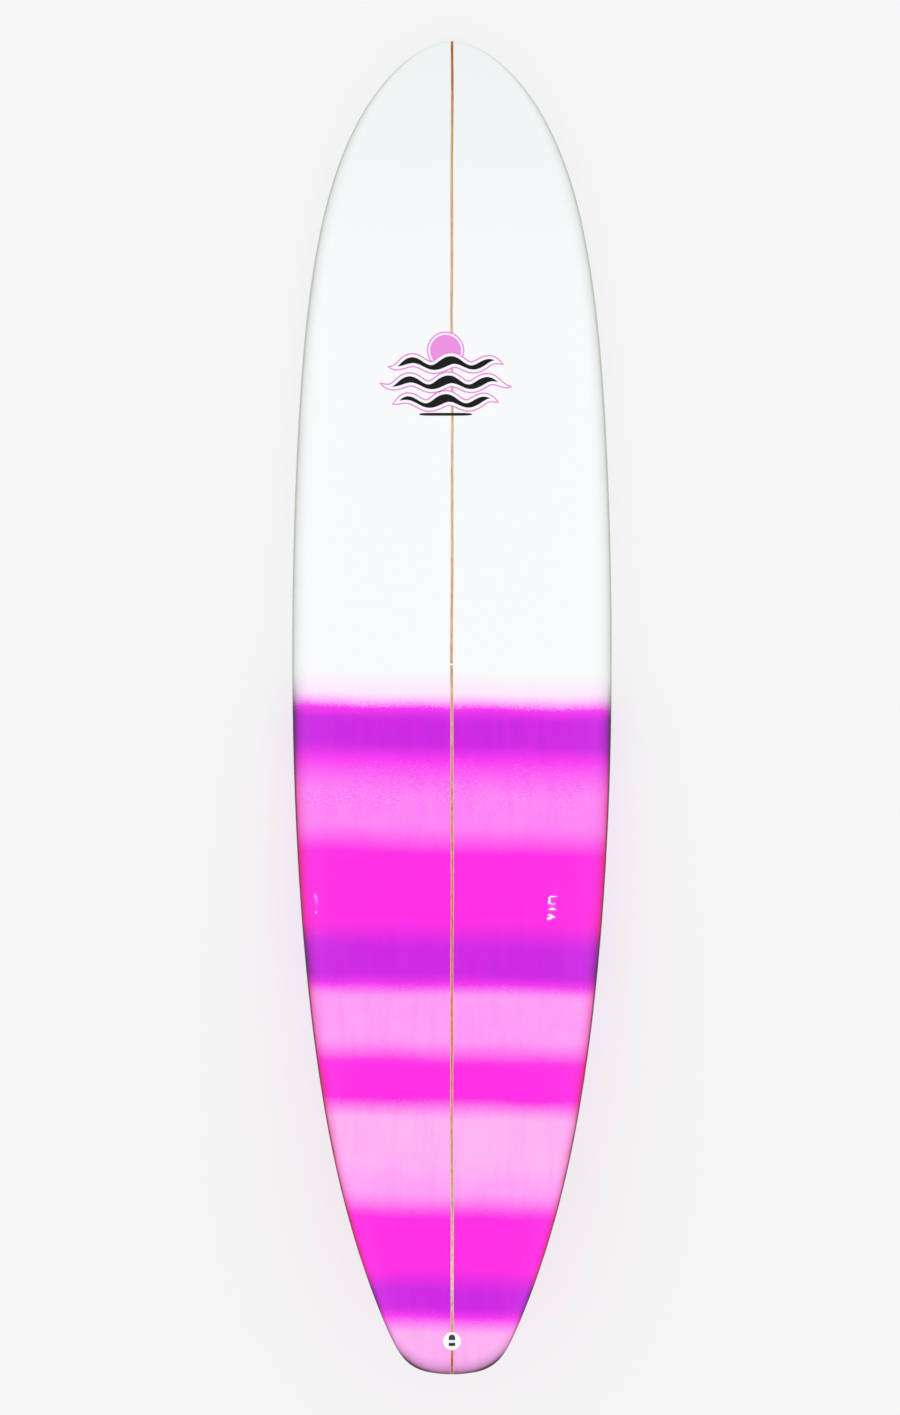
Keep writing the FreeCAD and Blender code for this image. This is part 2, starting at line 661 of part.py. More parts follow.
def make_stringer_plank(core_places, core_rings):
    """The stringer before it is notched: a flat plank cut to the blank's side profile."""
    over = [ring[DECK_MIDDLE] for ring in core_rings]
    under = [ring[BOTTOM_MIDDLE] for ring in reversed(core_rings[1:-1])]
    profile = Part.BSplineCurve()
    profile.interpolate(Points=[V(point.y, point.z, 0) for point in over + under], PeriodicFlag=True)
    body = new_body("stringer_plank", Placement())
    sketch = new_sketch(body, "stringer_profile", "YZ_Plane", "-{stringer_thickness} / 2")
    sketch.addGeometry(profile)
    add_pad(body, sketch, "stringer_pad", "{stringer_thickness}", downwards=False)
    return body


def make_laminate(name, outer, inner, first, last):
    """One glass skin: the space between two hull surfaces, from one lap line round to the other."""
    faces = []
    for surface in (outer, inner):
        patch = surface.copy()
        patch.segment(first, last, 0, 1)
        faces.append(patch.toShape())
    for lap in (first, last):
        edges = [surface.uIso(lap % 1).toShape() for surface in (outer, inner)]
        faces.append(Part.makeRuledSurface(*edges))
    skin = Part.makeCompound(faces)
    skin.sewShape()
    return feature(name, closed_solid(skin.Faces))


def make_emblem_prism():
    """An upright oval prism through the deck, as wide and long as the printed tissue."""
    middle = V(-size("emblem_offset"), size("board_length") - size("emblem_from_nose"), 50)
    body = new_body("emblem_prism", Placement(middle, Rotation()))
    oval = new_sketch(body, "emblem_oval", "XY_Plane")
    across, along = size("emblem_width") / 2, size("emblem_length") / 2
    ring = oval.addGeometry(Part.Ellipse(V(across, 0, 0), V(0, along, 0), V(0, 0, 0)))
    oval.exposeInternalGeometry(ring)
    oval.addConstraint(Sketcher.Constraint("Coincident", ring, 3, -1, 1))
    for kind, line, formula, value in (
            ("DistanceX", ring + 1, "{emblem_width}", 2 * across),
            ("DistanceY", ring + 2, "{emblem_length}", 2 * along)):
        ends = (1, 2) if pointed_forwards(oval.Geometry[line]) else (2, 1)
        number = oval.addConstraint(Sketcher.Constraint(kind, line, ends[0], line, ends[1], value))
        oval.setExpression("Constraints[%d]" % number, cell(formula))
    oval.addConstraint(Sketcher.Constraint("Horizontal", ring + 1))
    add_pad(body, oval, "emblem_pad", "150", downwards=False)
    return body


def pointed_forwards(line):
    """Whether a line runs towards more X or more Y."""
    step = line.EndPoint - line.StartPoint
    return step.x + step.y > 0


def half_blank(name, core, hollows, side):
    """One half of the foam blank, side being 1 on the right of the stringer."""
    block = doc.addObject("Part::Box", name + "_half")
    bind(block, Length="400", Width="{board_length} + 200", Height="400")
    inner = size("stringer_thickness") / 2
    block.Placement = Placement(V(inner if side > 0 else -inner - 400, -100, -100), Rotation())
    return cut(name, common(name + "_blank", core, block), hollows)


def make_side_fin(frame, side, label, hull):
    """A side fin, its two plugs and their grub screws; the flat side of the foil faces inwards."""
    blade = make_blade("side_fin_%s_blade" % label, frame, "side", inner_side=side)
    tabs, pieces, blocks = [], [], []
    for end, sign in (("front", 1), ("rear", -1)):
        place = "%d * {plug_spacing} / 2" % sign
        name = "side_fin_plug_%s_%s" % (label, end)
        tabs.append(box("side_fin_%s_%s_tab" % (label, end), frame, "{side_tab_width}", "{side_tab_length}",
                        "{side_tab_depth} + {fin_gap}", middle_y=place, top="{fin_gap}"))
        block = cylinder(name + "_block", frame, "{plug_radius}", "{plug_depth} + {sanding}",
                         V(0, evaluate(place), -size("plug_depth")))
        slot = box(name + "_slot", frame, "{side_tab_width} + 2 * {side_tab_play}",
                   "{side_tab_length} + 2 * {side_tab_play}", "{side_tab_depth} + 10.5",
                   middle_y=place, top="10")
        tilt = Placement(V(side * size("grub_offset"), evaluate(place), 0),
                         Rotation(V(0, 1, 0), side * size("grub_tilt")))
        grub_frame = frame.multiply(tilt)
        bore = cylinder(name + "_bore", grub_frame, "{grub_radius}", "{grub_sink} + {grub_length} + 10.4",
                        V(0, 0, -size("grub_sink") - size("grub_length") - 0.4))
        flush = common(name + "_flush", block, hull)
        pieces.append(cut(name, flush, fuse(name + "_hollow", [slot, bore])))
        pieces.append(make_grub_screw("grub_screw_%s_%s" % (label, end), grub_frame))
        blocks.append(block)
    fin = fuse("side_fin_%s" % label, [blade] + tabs)
    return fin, pieces, blocks


def make_grub_screw(name, frame):
    """A headless hex-socket screw, sunk just below the plug's face."""
    body = new_body(name, frame)
    shank = new_sketch(body, name + "_shank", "XY_Plane", "-{grub_sink}")
    draw_circle(shank, "{grub_radius}")
    add_pad(body, shank, name + "_pad", "{grub_length}")
    socket = new_sketch(body, name + "_socket", "XY_Plane", "-{grub_sink}")
    draw_hexagon(socket, "{grub_key}")
    add_pocket(body, socket, name + "_key", "{grub_key_depth}")
    return body


# ---------------------------------------------------------------- how the board lies on the ground


def resting_placement(hull, rings, fin_frame):
    """The placement that sets the board on the ground, on its centre fin and its bottom."""
    belly = [ring[BOTTOM_MIDDLE] for ring in rings if ring[0].y > 800]
    blade = [fin_frame.multVec(point) for point in fin_edge_points()]
    slope = 0.0
    for _ in range(12):
        foot = min(blade, key=lambda point: point.z - slope * point.y)
        slope = min((point.z - foot.z) / (point.y - foot.y) for point in belly)
    turn = Rotation(V(1, 0, 0), -math.degrees(math.atan(slope)))
    lowest = turn.multVec(foot).z
    turned = hull.copy()
    turned.Placement = Placement(V(0, 0, 0), turn)
    bounds = turned.optimalBoundingBox(False)
    return Placement(V(0, -(bounds.YMin + bounds.YMax) / 2, -lowest), turn)


def fin_edge_points():
    """Points along the centre fin's edge near its tip, in the fin box's frame."""
    points = []
    for step in range(200):
        reach = math.sin(step / 199 * math.pi / 2)
        half, centre = blade_chord("fin", reach)
        height = size("fin_gap") + size("fin_depth") * reach
        points.append(V(0, centre - half, height))
        points.append(V(0, centre + half, height))
    return points


def check_document(subparts):
    """Stop if any object failed to build or any sub-part isn't one sound solid."""
    for item in doc.Objects:
        if "Invalid" in item.State or "Error" in item.State:
            raise RuntimeError("%s did not build: %s" % (item.Name, item.State))
    for item in subparts:
        shape = item.Shape
        if shape.isNull() or not shape.isValid() or len(shape.Solids) != 1:
            raise RuntimeError("%s isn't one sound solid: %d" % (item.Label, len(shape.Solids)))
        if shape.Volume <= 0:
            raise RuntimeError("%s is inside out" % item.Label)


def main():
    """Build the board, set it on the ground and write one STEP file for each sub-part."""
    fill_sheet()
    places, rings = hull_rings()
    surface = skinned_surface(places, rings)
    hull = feature("hull", closed_solid([surface.toShape()]))
    core_rings = inset_rings(surface, places, rings, size("glass_thickness"))
    core_surface = skinned_surface(places, core_rings)
    core = feature("core", closed_solid([core_surface.toShape()]))
    tissue_inset = size("glass_thickness") - size("emblem_thickness")
    tissue_rings = inset_rings(surface, places, rings, tissue_inset)
    tissue = feature("tissue_skin", closed_solid([skinned_surface(places, tissue_rings).toShape()]))

    cup_frame = surface_frame(hull.Shape, 0, size("cup_from_tail"), V(0, 0, 1))
    box_frame = fin_box_frame()
    side_frames = {"right": side_fin_frame(hull.Shape, 1), "left": side_fin_frame(hull.Shape, -1)}

    subparts = []
    blocks = [make_fin_box_block(box_frame)]
    cup_base = V(0, 0, -size("cup_depth"))
    cup_block = cylinder("cup_block", cup_frame, "{cup_radius}", "{cup_depth} + 5", cup_base)
    blocks.append(cup_block)
    for label, side in (("left", -1), ("right", 1)):
        fin, pieces, plug_blocks = make_side_fin(side_frames[label], side, label, hull)
        subparts.append(fin)
        subparts.extend(pieces)
        blocks.extend(plug_blocks)
    hollows = fuse("hardware_blocks", blocks)

    subparts.append(half_blank("foam_left", core, hollows, -1))
    subparts.append(half_blank("foam_right", core, hollows, 1))
    subparts.append(cut("stringer", make_stringer_plank(places, core_rings), hollows))

    emblem = common("deck_emblem", cut("print_layer", tissue, core), make_emblem_prism())
    subparts.append(emblem)

    lap = LAP_LINE / RAIL_POINTS
    deck_glass = make_laminate("deck_glass", surface, core_surface, lap, 1 - lap)
    bottom_glass = make_laminate("bottom_glass", surface, core_surface, 1 - lap, 1 + lap)
    deck_hollows = fuse("deck_hollows", [cup_block, emblem])
    subparts.append(cut("deck_laminate", deck_glass, deck_hollows))
    subparts.append(cut("bottom_laminate", bottom_glass, hollows))

    subparts.append(make_leash_cup(cup_frame))
    subparts.append(cylinder("leash_bar", cup_frame, "{bar_radius}", "{bar_length}",
                             V(-size("bar_length") / 2, -size("bar_offset"), -size("bar_depth")),
                             Rotation(V(0, 1, 0), 90)))
    subparts.append(make_fin_box(blocks[0], box_frame, hull))
    subparts.append(make_centre_fin(box_frame))
    subparts.extend(make_fin_hardware(box_frame))
    doc.recompute()

    rest = resting_placement(hull.Shape, rings, box_frame)
    os.makedirs("parts", exist_ok=True)
    doc.recompute()
    check_document(subparts)
    for item in subparts:
        shape = item.Shape.copy()
        shape.Placement = rest.multiply(shape.Placement)
        shape.exportStep("parts/%s.step" % item.Label)
    frames = {"rest": rest, "cup": rest.multiply(cup_frame), "box": rest.multiply(box_frame)}
    for label in side_frames:
        frames["side_" + label] = rest.multiply(side_frames[label])
    for label, frame in frames.items():
        print(label, frame.Base, frame.Rotation.multVec(V(0, 0, 1)), frame.Rotation.multVec(V(0, 1, 0)))
    return {"frames": frames, "subparts": subparts}


if __name__ == "__main__":
    main()
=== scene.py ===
"""The looks of a round-nosed surfboard: sprayed and glassed skins, wooden stringer, print and fittings.

The packed model is the fixed frame. Its pieces keep their shapes and get their finishes here, and the
stringer's edges and the deck's print, which the opaque skins would hide, are laid on as pieces.
"""

import json
import math

import bmesh
import bpy
from bpy.props import FloatProperty, FloatVectorProperty, PointerProperty
from mathutils import Matrix, Vector
from mathutils.bvhtree import BVHTree


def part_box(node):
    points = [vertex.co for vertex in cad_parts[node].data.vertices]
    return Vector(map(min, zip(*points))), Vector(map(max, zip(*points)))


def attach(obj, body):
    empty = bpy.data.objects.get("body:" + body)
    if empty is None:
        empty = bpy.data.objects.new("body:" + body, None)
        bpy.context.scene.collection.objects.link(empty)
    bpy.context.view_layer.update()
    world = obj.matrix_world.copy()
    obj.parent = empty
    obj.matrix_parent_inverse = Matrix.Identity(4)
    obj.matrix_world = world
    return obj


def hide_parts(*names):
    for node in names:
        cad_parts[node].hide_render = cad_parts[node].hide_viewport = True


bl_info = {
    "name": "Sprayed surfboard",
    "version": (1, 0, 0),
    "blender": (4, 5, 0),
    "location": "View3D > Sidebar > Surfboard",
    "description": "Finishes a packed surfboard: skins, stringer, print, leash plug, fins and studio",
    "category": "Add Mesh",
}

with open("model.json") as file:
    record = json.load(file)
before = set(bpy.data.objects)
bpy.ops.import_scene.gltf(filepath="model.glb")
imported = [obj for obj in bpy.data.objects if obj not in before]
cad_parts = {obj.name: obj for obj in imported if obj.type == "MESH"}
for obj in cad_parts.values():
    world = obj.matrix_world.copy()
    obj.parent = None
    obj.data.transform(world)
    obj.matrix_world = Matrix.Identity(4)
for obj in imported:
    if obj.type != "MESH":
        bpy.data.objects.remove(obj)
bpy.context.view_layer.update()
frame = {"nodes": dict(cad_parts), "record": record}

MM = 0.001

# The board's own frame: its origin is under the tail end, +Y to the nose and +Z out of the deck.
TAIL = Vector((0.0, -1.1470204, 0.1287678))
LIE = math.radians(5.14063)
ALONG = Vector((0.0, math.cos(LIE), -math.sin(LIE)))
UP = Vector((0.0, math.sin(LIE), math.cos(LIE)))
BOARD = Matrix.Translation(TAIL) @ Matrix.Rotation(-LIE, 4, "X")

# The board's length, its deck's height in that frame, and the leash cup's radius.
LENGTH = 2.286
DECK_LEVEL = 0.050
CUP_RADIUS = 0.01575

# A height that is clear of the board, above and below.
CLEAR = 0.5

# The bottom's lowest place, from the tail end, and how high and how sharply it rises to each end.
BELLY = 1.0
TAIL_ROCKER, TAIL_CURVE = 0.058, 2.2
NOSE_ROCKER, NOSE_CURVE = 0.115, 2.6

# The board's thickness, its thickest place, from the tail end, and how it thins towards each end.
THICKNESS = 0.070
THICKEST = 1.2
TAIL_THINNING, NOSE_THINNING = 0.044, 0.050
THINNING_CURVE = 2.4

# Height of the rail's edge over the bottom, as a share of the thickness.
RAIL_EDGE = 0.42

# The tail's rounded end: half its width, and how far and how sharply it curves back over that.
TAIL_HALF_WIDTH, TAIL_SWEEP, TAIL_ROUNDING = 0.08, 0.025, 2.6

# The clear polished resin. Its refraction is a little low, so that the sprayed colours stay deep.
UNDER_RESIN = {
    "Specular_IOR_Level": 0.0, "Coat_Weight": 1.0, "Coat_Roughness": 0.025, "Coat_IOR": 1.36,
}

# Sprayed bands: metres back from the nose, and the paint there; the first stop is painted shade at the nose.
BANDS = (
    (0.0, "shaded_nose_white"), (0.45, "white"), (1.080, "white"), (1.118, "mist"), (1.131, "haze"),
    (1.142, "bloom"), (1.162, "purple"), (1.205, "purple"), (1.232, "bloom"),
    (1.290, "pink"), (1.345, "pink"),
    (1.392, "hot"), (1.512, "hot"), (1.552, "purple"), (1.602, "purple"),
    (1.619, "bloom"), (1.638, "pale"), (1.712, "pale"), (1.752, "hot"), (1.814, "hot"),
    (1.848, "palest"), (1.925, "palest"), (1.976, "pale"), (2.014, "hot"), (2.106, "hot"),
    (2.142, "purple"), (2.174, "purple"), (2.188, "bloom"), (2.216, "palest"),
)

# The same round the rails, as painted shade: each band darker where the skin turns down and away from the
# light, with its own shade at the tail's end.
RAIL_SHADE_BANDS = (
    (1.090, "white_rail_shade"), (1.150, "purple_rail_shade"), (1.215, "purple_rail_shade"),
    (1.285, "pink_rail_shade"), (1.345, "pink_rail_shade"), (1.392, "hot_rail_shade"), (1.512, "hot_rail_shade"),
    (1.552, "purple_rail_shade"), (1.596, "purple_rail_shade"), (1.636, "pink_rail_shade"), (1.712, "pink_rail_shade"),
    (1.752, "hot_rail_shade"), (1.814, "hot_rail_shade"), (1.852, "pink_rail_shade"), (1.972, "pink_rail_shade"),
    (2.014, "hot_rail_shade"), (2.106, "hot_rail_shade"), (2.142, "purple_rail_shade"), (2.174, "purple_rail_shade"),
    (2.200, "pink_rail_shade"), (2.245, "tail_end_shade"),
)

# Where the spraying fades in, in metres back from the nose.
SPRAY_START = (1.10, 1.16)

# A patch that was sprayed too wet: where it fades in, and where it fades out again.
WET_START = (1.215, 1.250)
WET_END = (1.345, 1.300)

# How the rails' painted shade and its thin line of deeper painted shade fade in over the flatness, and how
# far each reaches in from the tail.
RAIL_SHADE_START, RAIL_SHADE_WIDTH, RAIL_SHADE_CURVE = 0.54, 0.42, 1.9
SHADE_LINE_FADE = (0.22, 0.10)
RAIL_SHADE_AT_TAIL, SHADE_LINE_AT_TAIL = 0.12, 0.035

# Where the stringer's wood changes: metres back from the nose, and the wood there; then how far the
# places wander.
WOOD_RUN = (
    (0.0, "wood_dark"), (0.18, "wood_tan"), (0.70, "wood_pale"), (1.10, "wood_tan"),
    (1.45, "wood_honey"), (1.70, "wood_honey"), (2.00, "wood_tan"), (2.14, "wood_straw"),
    (2.20, "wood_tan"), (2.245, "wood_honey"), (2.28, "wood_dark"),
)
WOOD_WANDER = 0.12

# The stringer's laid strips: how near they come to the board's ends, the length of their steps, the extra
# steps near the ends, how far they stand off the skin and how thick they are.
TIP_GAP = 0.15 * MM
STRIP_STEP = 0.008
END_STEPS = (0.0004, 0.001, 0.002, 0.003, 0.0042, 0.0056, 0.0072, 0.009, 0.011, 0.0135, 0.0165)
STRIP_LIFT = 0.12 * MM
STRIP_DEPTH = 0.4 * MM

# The slow waves in which the stringer wanders, each with its radians in a metre, its size and its start,
# and how quickly they grow from the board's ends.
SWAYS = ((9.1, 1.0, 0.0), (23.0, 0.6, 1.0))
SWAY_GROWTH = 12

# Places in the strips' material slots.
WOOD, GLUE = 0, 1

# The print's sun: its middle's height over the print's, its radius and sides, the width of its white ring
# over the waves' white, and how many rings divide it, each so wide over the radius.
SUN_RISE, SUN_RADIUS, SUN_SIDES = 0.036, 0.032, 96
SUN_GAP = 0.6
SUN_RINGS, SUN_RING_WIDTH = 4, 0.16

# The print's waves: each one's height over the print's middle, half its length, and its swell's start.
WAVES = ((0.013, 0.100, 0.5), (-0.020, 0.114, 0.9), (-0.052, 0.092, 1.3))
WAVE_STEP = 1.6 * MM

# A wave's rise and fall, and the radians of swell in a metre.
SWELL_HEIGHT = 0.0062
SWELL_PACE = 92.0

# How a wave's stroke narrows to its ends, and by how much and how far ahead of its swell it thickens.
TAPER_SQUARENESS, TAPER_CURVE = 3.2, 0.75
PRESSURE, PRESSURE_LEAD = 0.16, 0.9

# The bar under the waves: how far below the print's middle, half its length, half its height, how square
# its ends are, and its steps.
BAR_DROP, BAR_REACH, BAR_HALF_HEIGHT = 0.0735, 0.046, 0.0024
BAR_SQUARENESS = 6
BAR_STEPS = 48

# How far the print's shapes stand off the skin, and how thick they are.
PRINT_LIFT = 0.16 * MM
WAVE_LIFT = 0.22 * MM
PRINT_DEPTH = 0.5 * MM

# Places in the print's material slots.
BLACK, BACKING, ORCHID = 0, 1, 2

# The camera's sensor, in millimetres along the picture's long side, and the nearest and the farthest that
# it shows, as shares of its distance.
SENSOR = 36.0
NEAR, FAR = 0.1, 20

# Half the floor's side.
FLOOR_REACH = 20.0

# The dome's brightness from the horizon up, over the sine of the height.
SKY = ((0.0, 0.62), (0.30, 0.92), (0.70, 1.0), (0.85, 0.9), (1.0, 0.55))

# Small lamps: where each one's glint lies across and along the deck, its two sides, its share of the glare.
LAMPS = {
    "lamp_right": ((0.170, 0.811), (0.004, 0.058), 1.0),
    "lamp_left": ((-0.234, 0.818), (0.006, 0.056), 0.5),
}

# How far the lamps stand from their glints, and how far to each side of one the skin's slope is measured.
LAMP_AWAY = 1.2
SLOPE_ACROSS, SLOPE_ALONG = 0.012, 0.03


def paint(red, green, blue):
    """A colour as a property's default, from its three 0 to 255 display values."""
    return (red / 255, green / 255, blue / 255)


def linear(colour):
    """A display colour as the four scene-linear numbers that a node's socket takes."""
    spread = [part / 12.92 if part <= 0.04045 else ((part + 0.055) / 1.055) ** 2.4 for part in colour]
    return (*spread, 1.0)


def colour_property(name, description, default):
    """A display colour that a user can change."""
    return FloatVectorProperty(
        name=name, description=description, subtype="COLOR_GAMMA", size=3, min=0, max=1,
        default=default)


def length_property(name, description, default):
    """A length in metres that a user can change."""
    return FloatProperty(name=name, description=description, unit="LENGTH", min=0, default=default)


# ---------------------------------------------------------------- what a user can change


class SprayColours(bpy.types.PropertyGroup):
    """Paints of the sprayed bands, the painted shade at the nose and round the rails, and how unevenly the
    paint went on.
    """

    white: colour_property("White", "Bare white foam under resin", paint(249, 250, 252))
    # Painted shade: the white is a little darker and cooler at the nose, where it rises away from the light.
    shaded_nose_white: colour_property("Nose white", "White foam at the nose", paint(238, 243, 243))
    mist: colour_property("Mist", "Faintest overspray on the white", paint(255, 232, 253))
    haze: colour_property("Haze", "Heavier overspray on the white", paint(255, 185, 254))
    bloom: colour_property("Bloom", "Bright edge where purple thins out", paint(250, 50, 243))
    purple: colour_property("Purple", "Purple bands", paint(203, 24, 226))
    hot: colour_property("Hot pink", "Hot pink bands", paint(255, 32, 229))
    pink: colour_property("Pink", "Light band under the first purple", paint(255, 134, 246))
    pale: colour_property("Pale pink", "Light bands in the middle", paint(255, 160, 247))
    palest: colour_property("Palest pink", "Light bands near the tail", paint(255, 180, 244))
    # Painted shade round the rails and at the tail's end, where the skin turns away from the light.
    white_rail_shade: colour_property("White rail", "White at the rails", paint(198, 207, 197))
    purple_rail_shade: colour_property("Purple rail", "Purple at the rails", paint(14, 0, 40))
    hot_rail_shade: colour_property("Hot rail", "Hot pink at the rails", paint(226, 0, 44))
    pink_rail_shade: colour_property("Pink rail", "Light pink at the rails", paint(222, 28, 118))
    tail_end_shade: colour_property("Tail rail", "Edge of the tail", paint(84, 0, 62))
    # Painted shade: a thin line along the rail's edge, pale on the white and dark on the sprayed part.
    white_shade_line: colour_property("White pin line", "Edge of the white rails", paint(176, 184, 168))
    dark_shade_line: colour_property("Dark pin line", "Edge of the sprayed rails", paint(26, 6, 18))
    waver: length_property("Waver", "How far a band's edge wanders", 0.007)
    speckle: length_property("Speckle", "How far the spray's droplets scatter", 0.016)
    slant: FloatProperty(
        name="Slant", description="Fall of the bands per metre to the right", default=0.02)


class StringerWood(bpy.types.PropertyGroup):
    """The strip of wood that shows through the skins."""

    wood_dark: colour_property("Dark wood", "Wood at the ends", paint(176, 104, 40))
    wood_tan: colour_property("Tan wood", "Wood through the middle", paint(226, 186, 140))
    wood_pale: colour_property("Pale wood", "Wood on the white deck", paint(228, 203, 172))
    wood_honey: colour_property("Honey wood", "Wood in the sprayed bands", paint(228, 148, 84))
    wood_straw: colour_property("Straw wood", "Wood before the leash plug", paint(240, 226, 178))
    glue: colour_property("Glue", "Glue lines along the wood", paint(250, 240, 240))
    width: length_property("Width", "Width of the wood", 0.0043)
    glue_width: length_property("Glue width", "Width of each glue line", 0.0004)
    waver: length_property("Waver", "How far the strip wanders from the middle", 0.0005)


class PrintInks(bpy.types.PropertyGroup):
    """The deck print: a sun over three waves and a bar."""

    black: colour_property("Black", "Middles of the waves", paint(6, 6, 10))
    backing: colour_property("Backing", "White between the inks", paint(252, 252, 254))
    orchid: colour_property("Orchid", "Outlines and sun", paint(238, 146, 228))
    black_fibre: colour_property("Fibre in black", "Tissue showing in the black", paint(24, 20, 34))
    backing_fibre: colour_property(
        "Fibre in backing", "Tissue showing in the white", paint(240, 238, 244))
    orchid_fibre: colour_property(
        "Fibre in orchid", "Tissue showing in the orchid", paint(246, 176, 238))
    outline: length_property("Outline", "Width of the orchid outlines", 0.0024)
    gap: length_property("Gap", "White between outline and black", 0.0046)
    stroke: length_property("Stroke", "Half height of the black in a wave", 0.0056)


class FittingColours(bpy.types.PropertyGroup):
    """Foam, plastics and metals of the blank, the plug, the fins and their boxes."""

    plug: colour_property("Plug", "Leash plug's white nylon", paint(250, 251, 251))
    # Grime and painted shade inside the plug's opening.
    grime_and_shade: colour_property("Grime", "Inside of the plug", paint(108, 104, 90))
    bar_flow: colour_property("Bar flow", "Flow marks in the leash bar", paint(226, 228, 228))
    fin: colour_property("Fin", "Black fin nylon", paint(24, 24, 27))
    fin_flow: colour_property("Fin flow", "Flow marks and scratches in the fins", paint(44, 44, 48))
    fin_box: colour_property("Fin box", "White fin box and plugs", paint(236, 236, 232))
    box_flow: colour_property("Box flow", "Flow marks in the fin box", paint(214, 214, 208))
    plug_flow: colour_property("Plug flow", "Flow marks in the fin plugs", paint(216, 216, 210))
    steel: colour_property("Steel", "Screws and plate", paint(205, 206, 208))
    steel_dull: colour_property("Dull steel", "Dull screw and plate", paint(150, 152, 156))
    grub_dull: colour_property("Dull grub screw", "Dull grub screws", paint(140, 142, 146))
    brass: colour_property("Brass", "Roll pin", paint(201, 164, 92))
    brass_dull: colour_property("Dull brass", "Dull roll pin", paint(150, 112, 52))
    foam: colour_property("Foam", "Blank's foam", paint(243, 240, 228))
    foam_cell: colour_property("Foam cell", "Shade in the foam's cells", paint(214, 206, 182))


class Studio(bpy.types.PropertyGroup):
    """Camera, floor and lights."""

    lens: FloatProperty(name="Lens", description="Focal length in millimetres", min=10, default=240)
    view_height: length_property("View height", "Height of the picture at the deck", 2.4330)
    side_step: length_property("Side step", "How far the camera is left of the stringer", 0.0034)
    nose_step: length_property("Nose step", "How far it is past the board's middle", 0.0024)
    floor: colour_property("Floor", "Pale floor", paint(149, 149, 149))
    floor_cloud: colour_property("Floor cloud", "Faint clouds in the floor", paint(146, 146, 146))
    floor_glow: FloatProperty(
        name="Floor glow", description="Light of the floor's own", min=0, default=0.627)
    dome: FloatProperty(
        name="Dome", description="Strength of the even light from above", min=0, default=1.135)
    glare: FloatProperty(
        name="Glare", description="Brightness of the small lamps' glints", min=0, default=160)


# ---------------------------------------------------------------- shader maths


class Value:
    """An output of a node in a finish. Arithmetic on it adds Math nodes."""

    def __init__(self, finish, socket):
        self.finish = finish
        self.socket = socket

    def maths(self, operation, first, second=0.0):
        """What a new Math node makes of one or two values."""
        return self.finish.node("ShaderNodeMath", {"operation": operation}, {0: first, 1: second})

    def __add__(self, other):
        return self.maths("ADD", self, other)

    def __radd__(self, other):
        return self.maths("ADD", other, self)

    def __sub__(self, other):
        return self.maths("SUBTRACT", self, other)

    def __rsub__(self, other):
        return self.maths("SUBTRACT", other, self)

    def __mul__(self, other):
        return self.maths("MULTIPLY", self, other)

    def __rmul__(self, other):
        return self.maths("MULTIPLY", other, self)

    def __truediv__(self, other):
        return self.maths("DIVIDE", self, other)

    def __pow__(self, power):
        return self.maths("POWER", self, power)

    def __abs__(self):
        return self.maths("ABSOLUTE", self)

    def at_least(self, floor):
        """The larger of this and another value."""
        return self.maths("MAXIMUM", self, floor)

    def at_most(self, ceiling):
        """The smaller of this and another value."""
        return self.maths("MINIMUM", self, ceiling)

    def step(self, start, end):
        """0 before start, 1 past end and a smooth rise between; start may be the larger."""
        return self.finish.node(
            "ShaderNodeMapRange", {"interpolation_type": "SMOOTHSTEP"},
            {"Value": self, "From Min": start, "From Max": end})


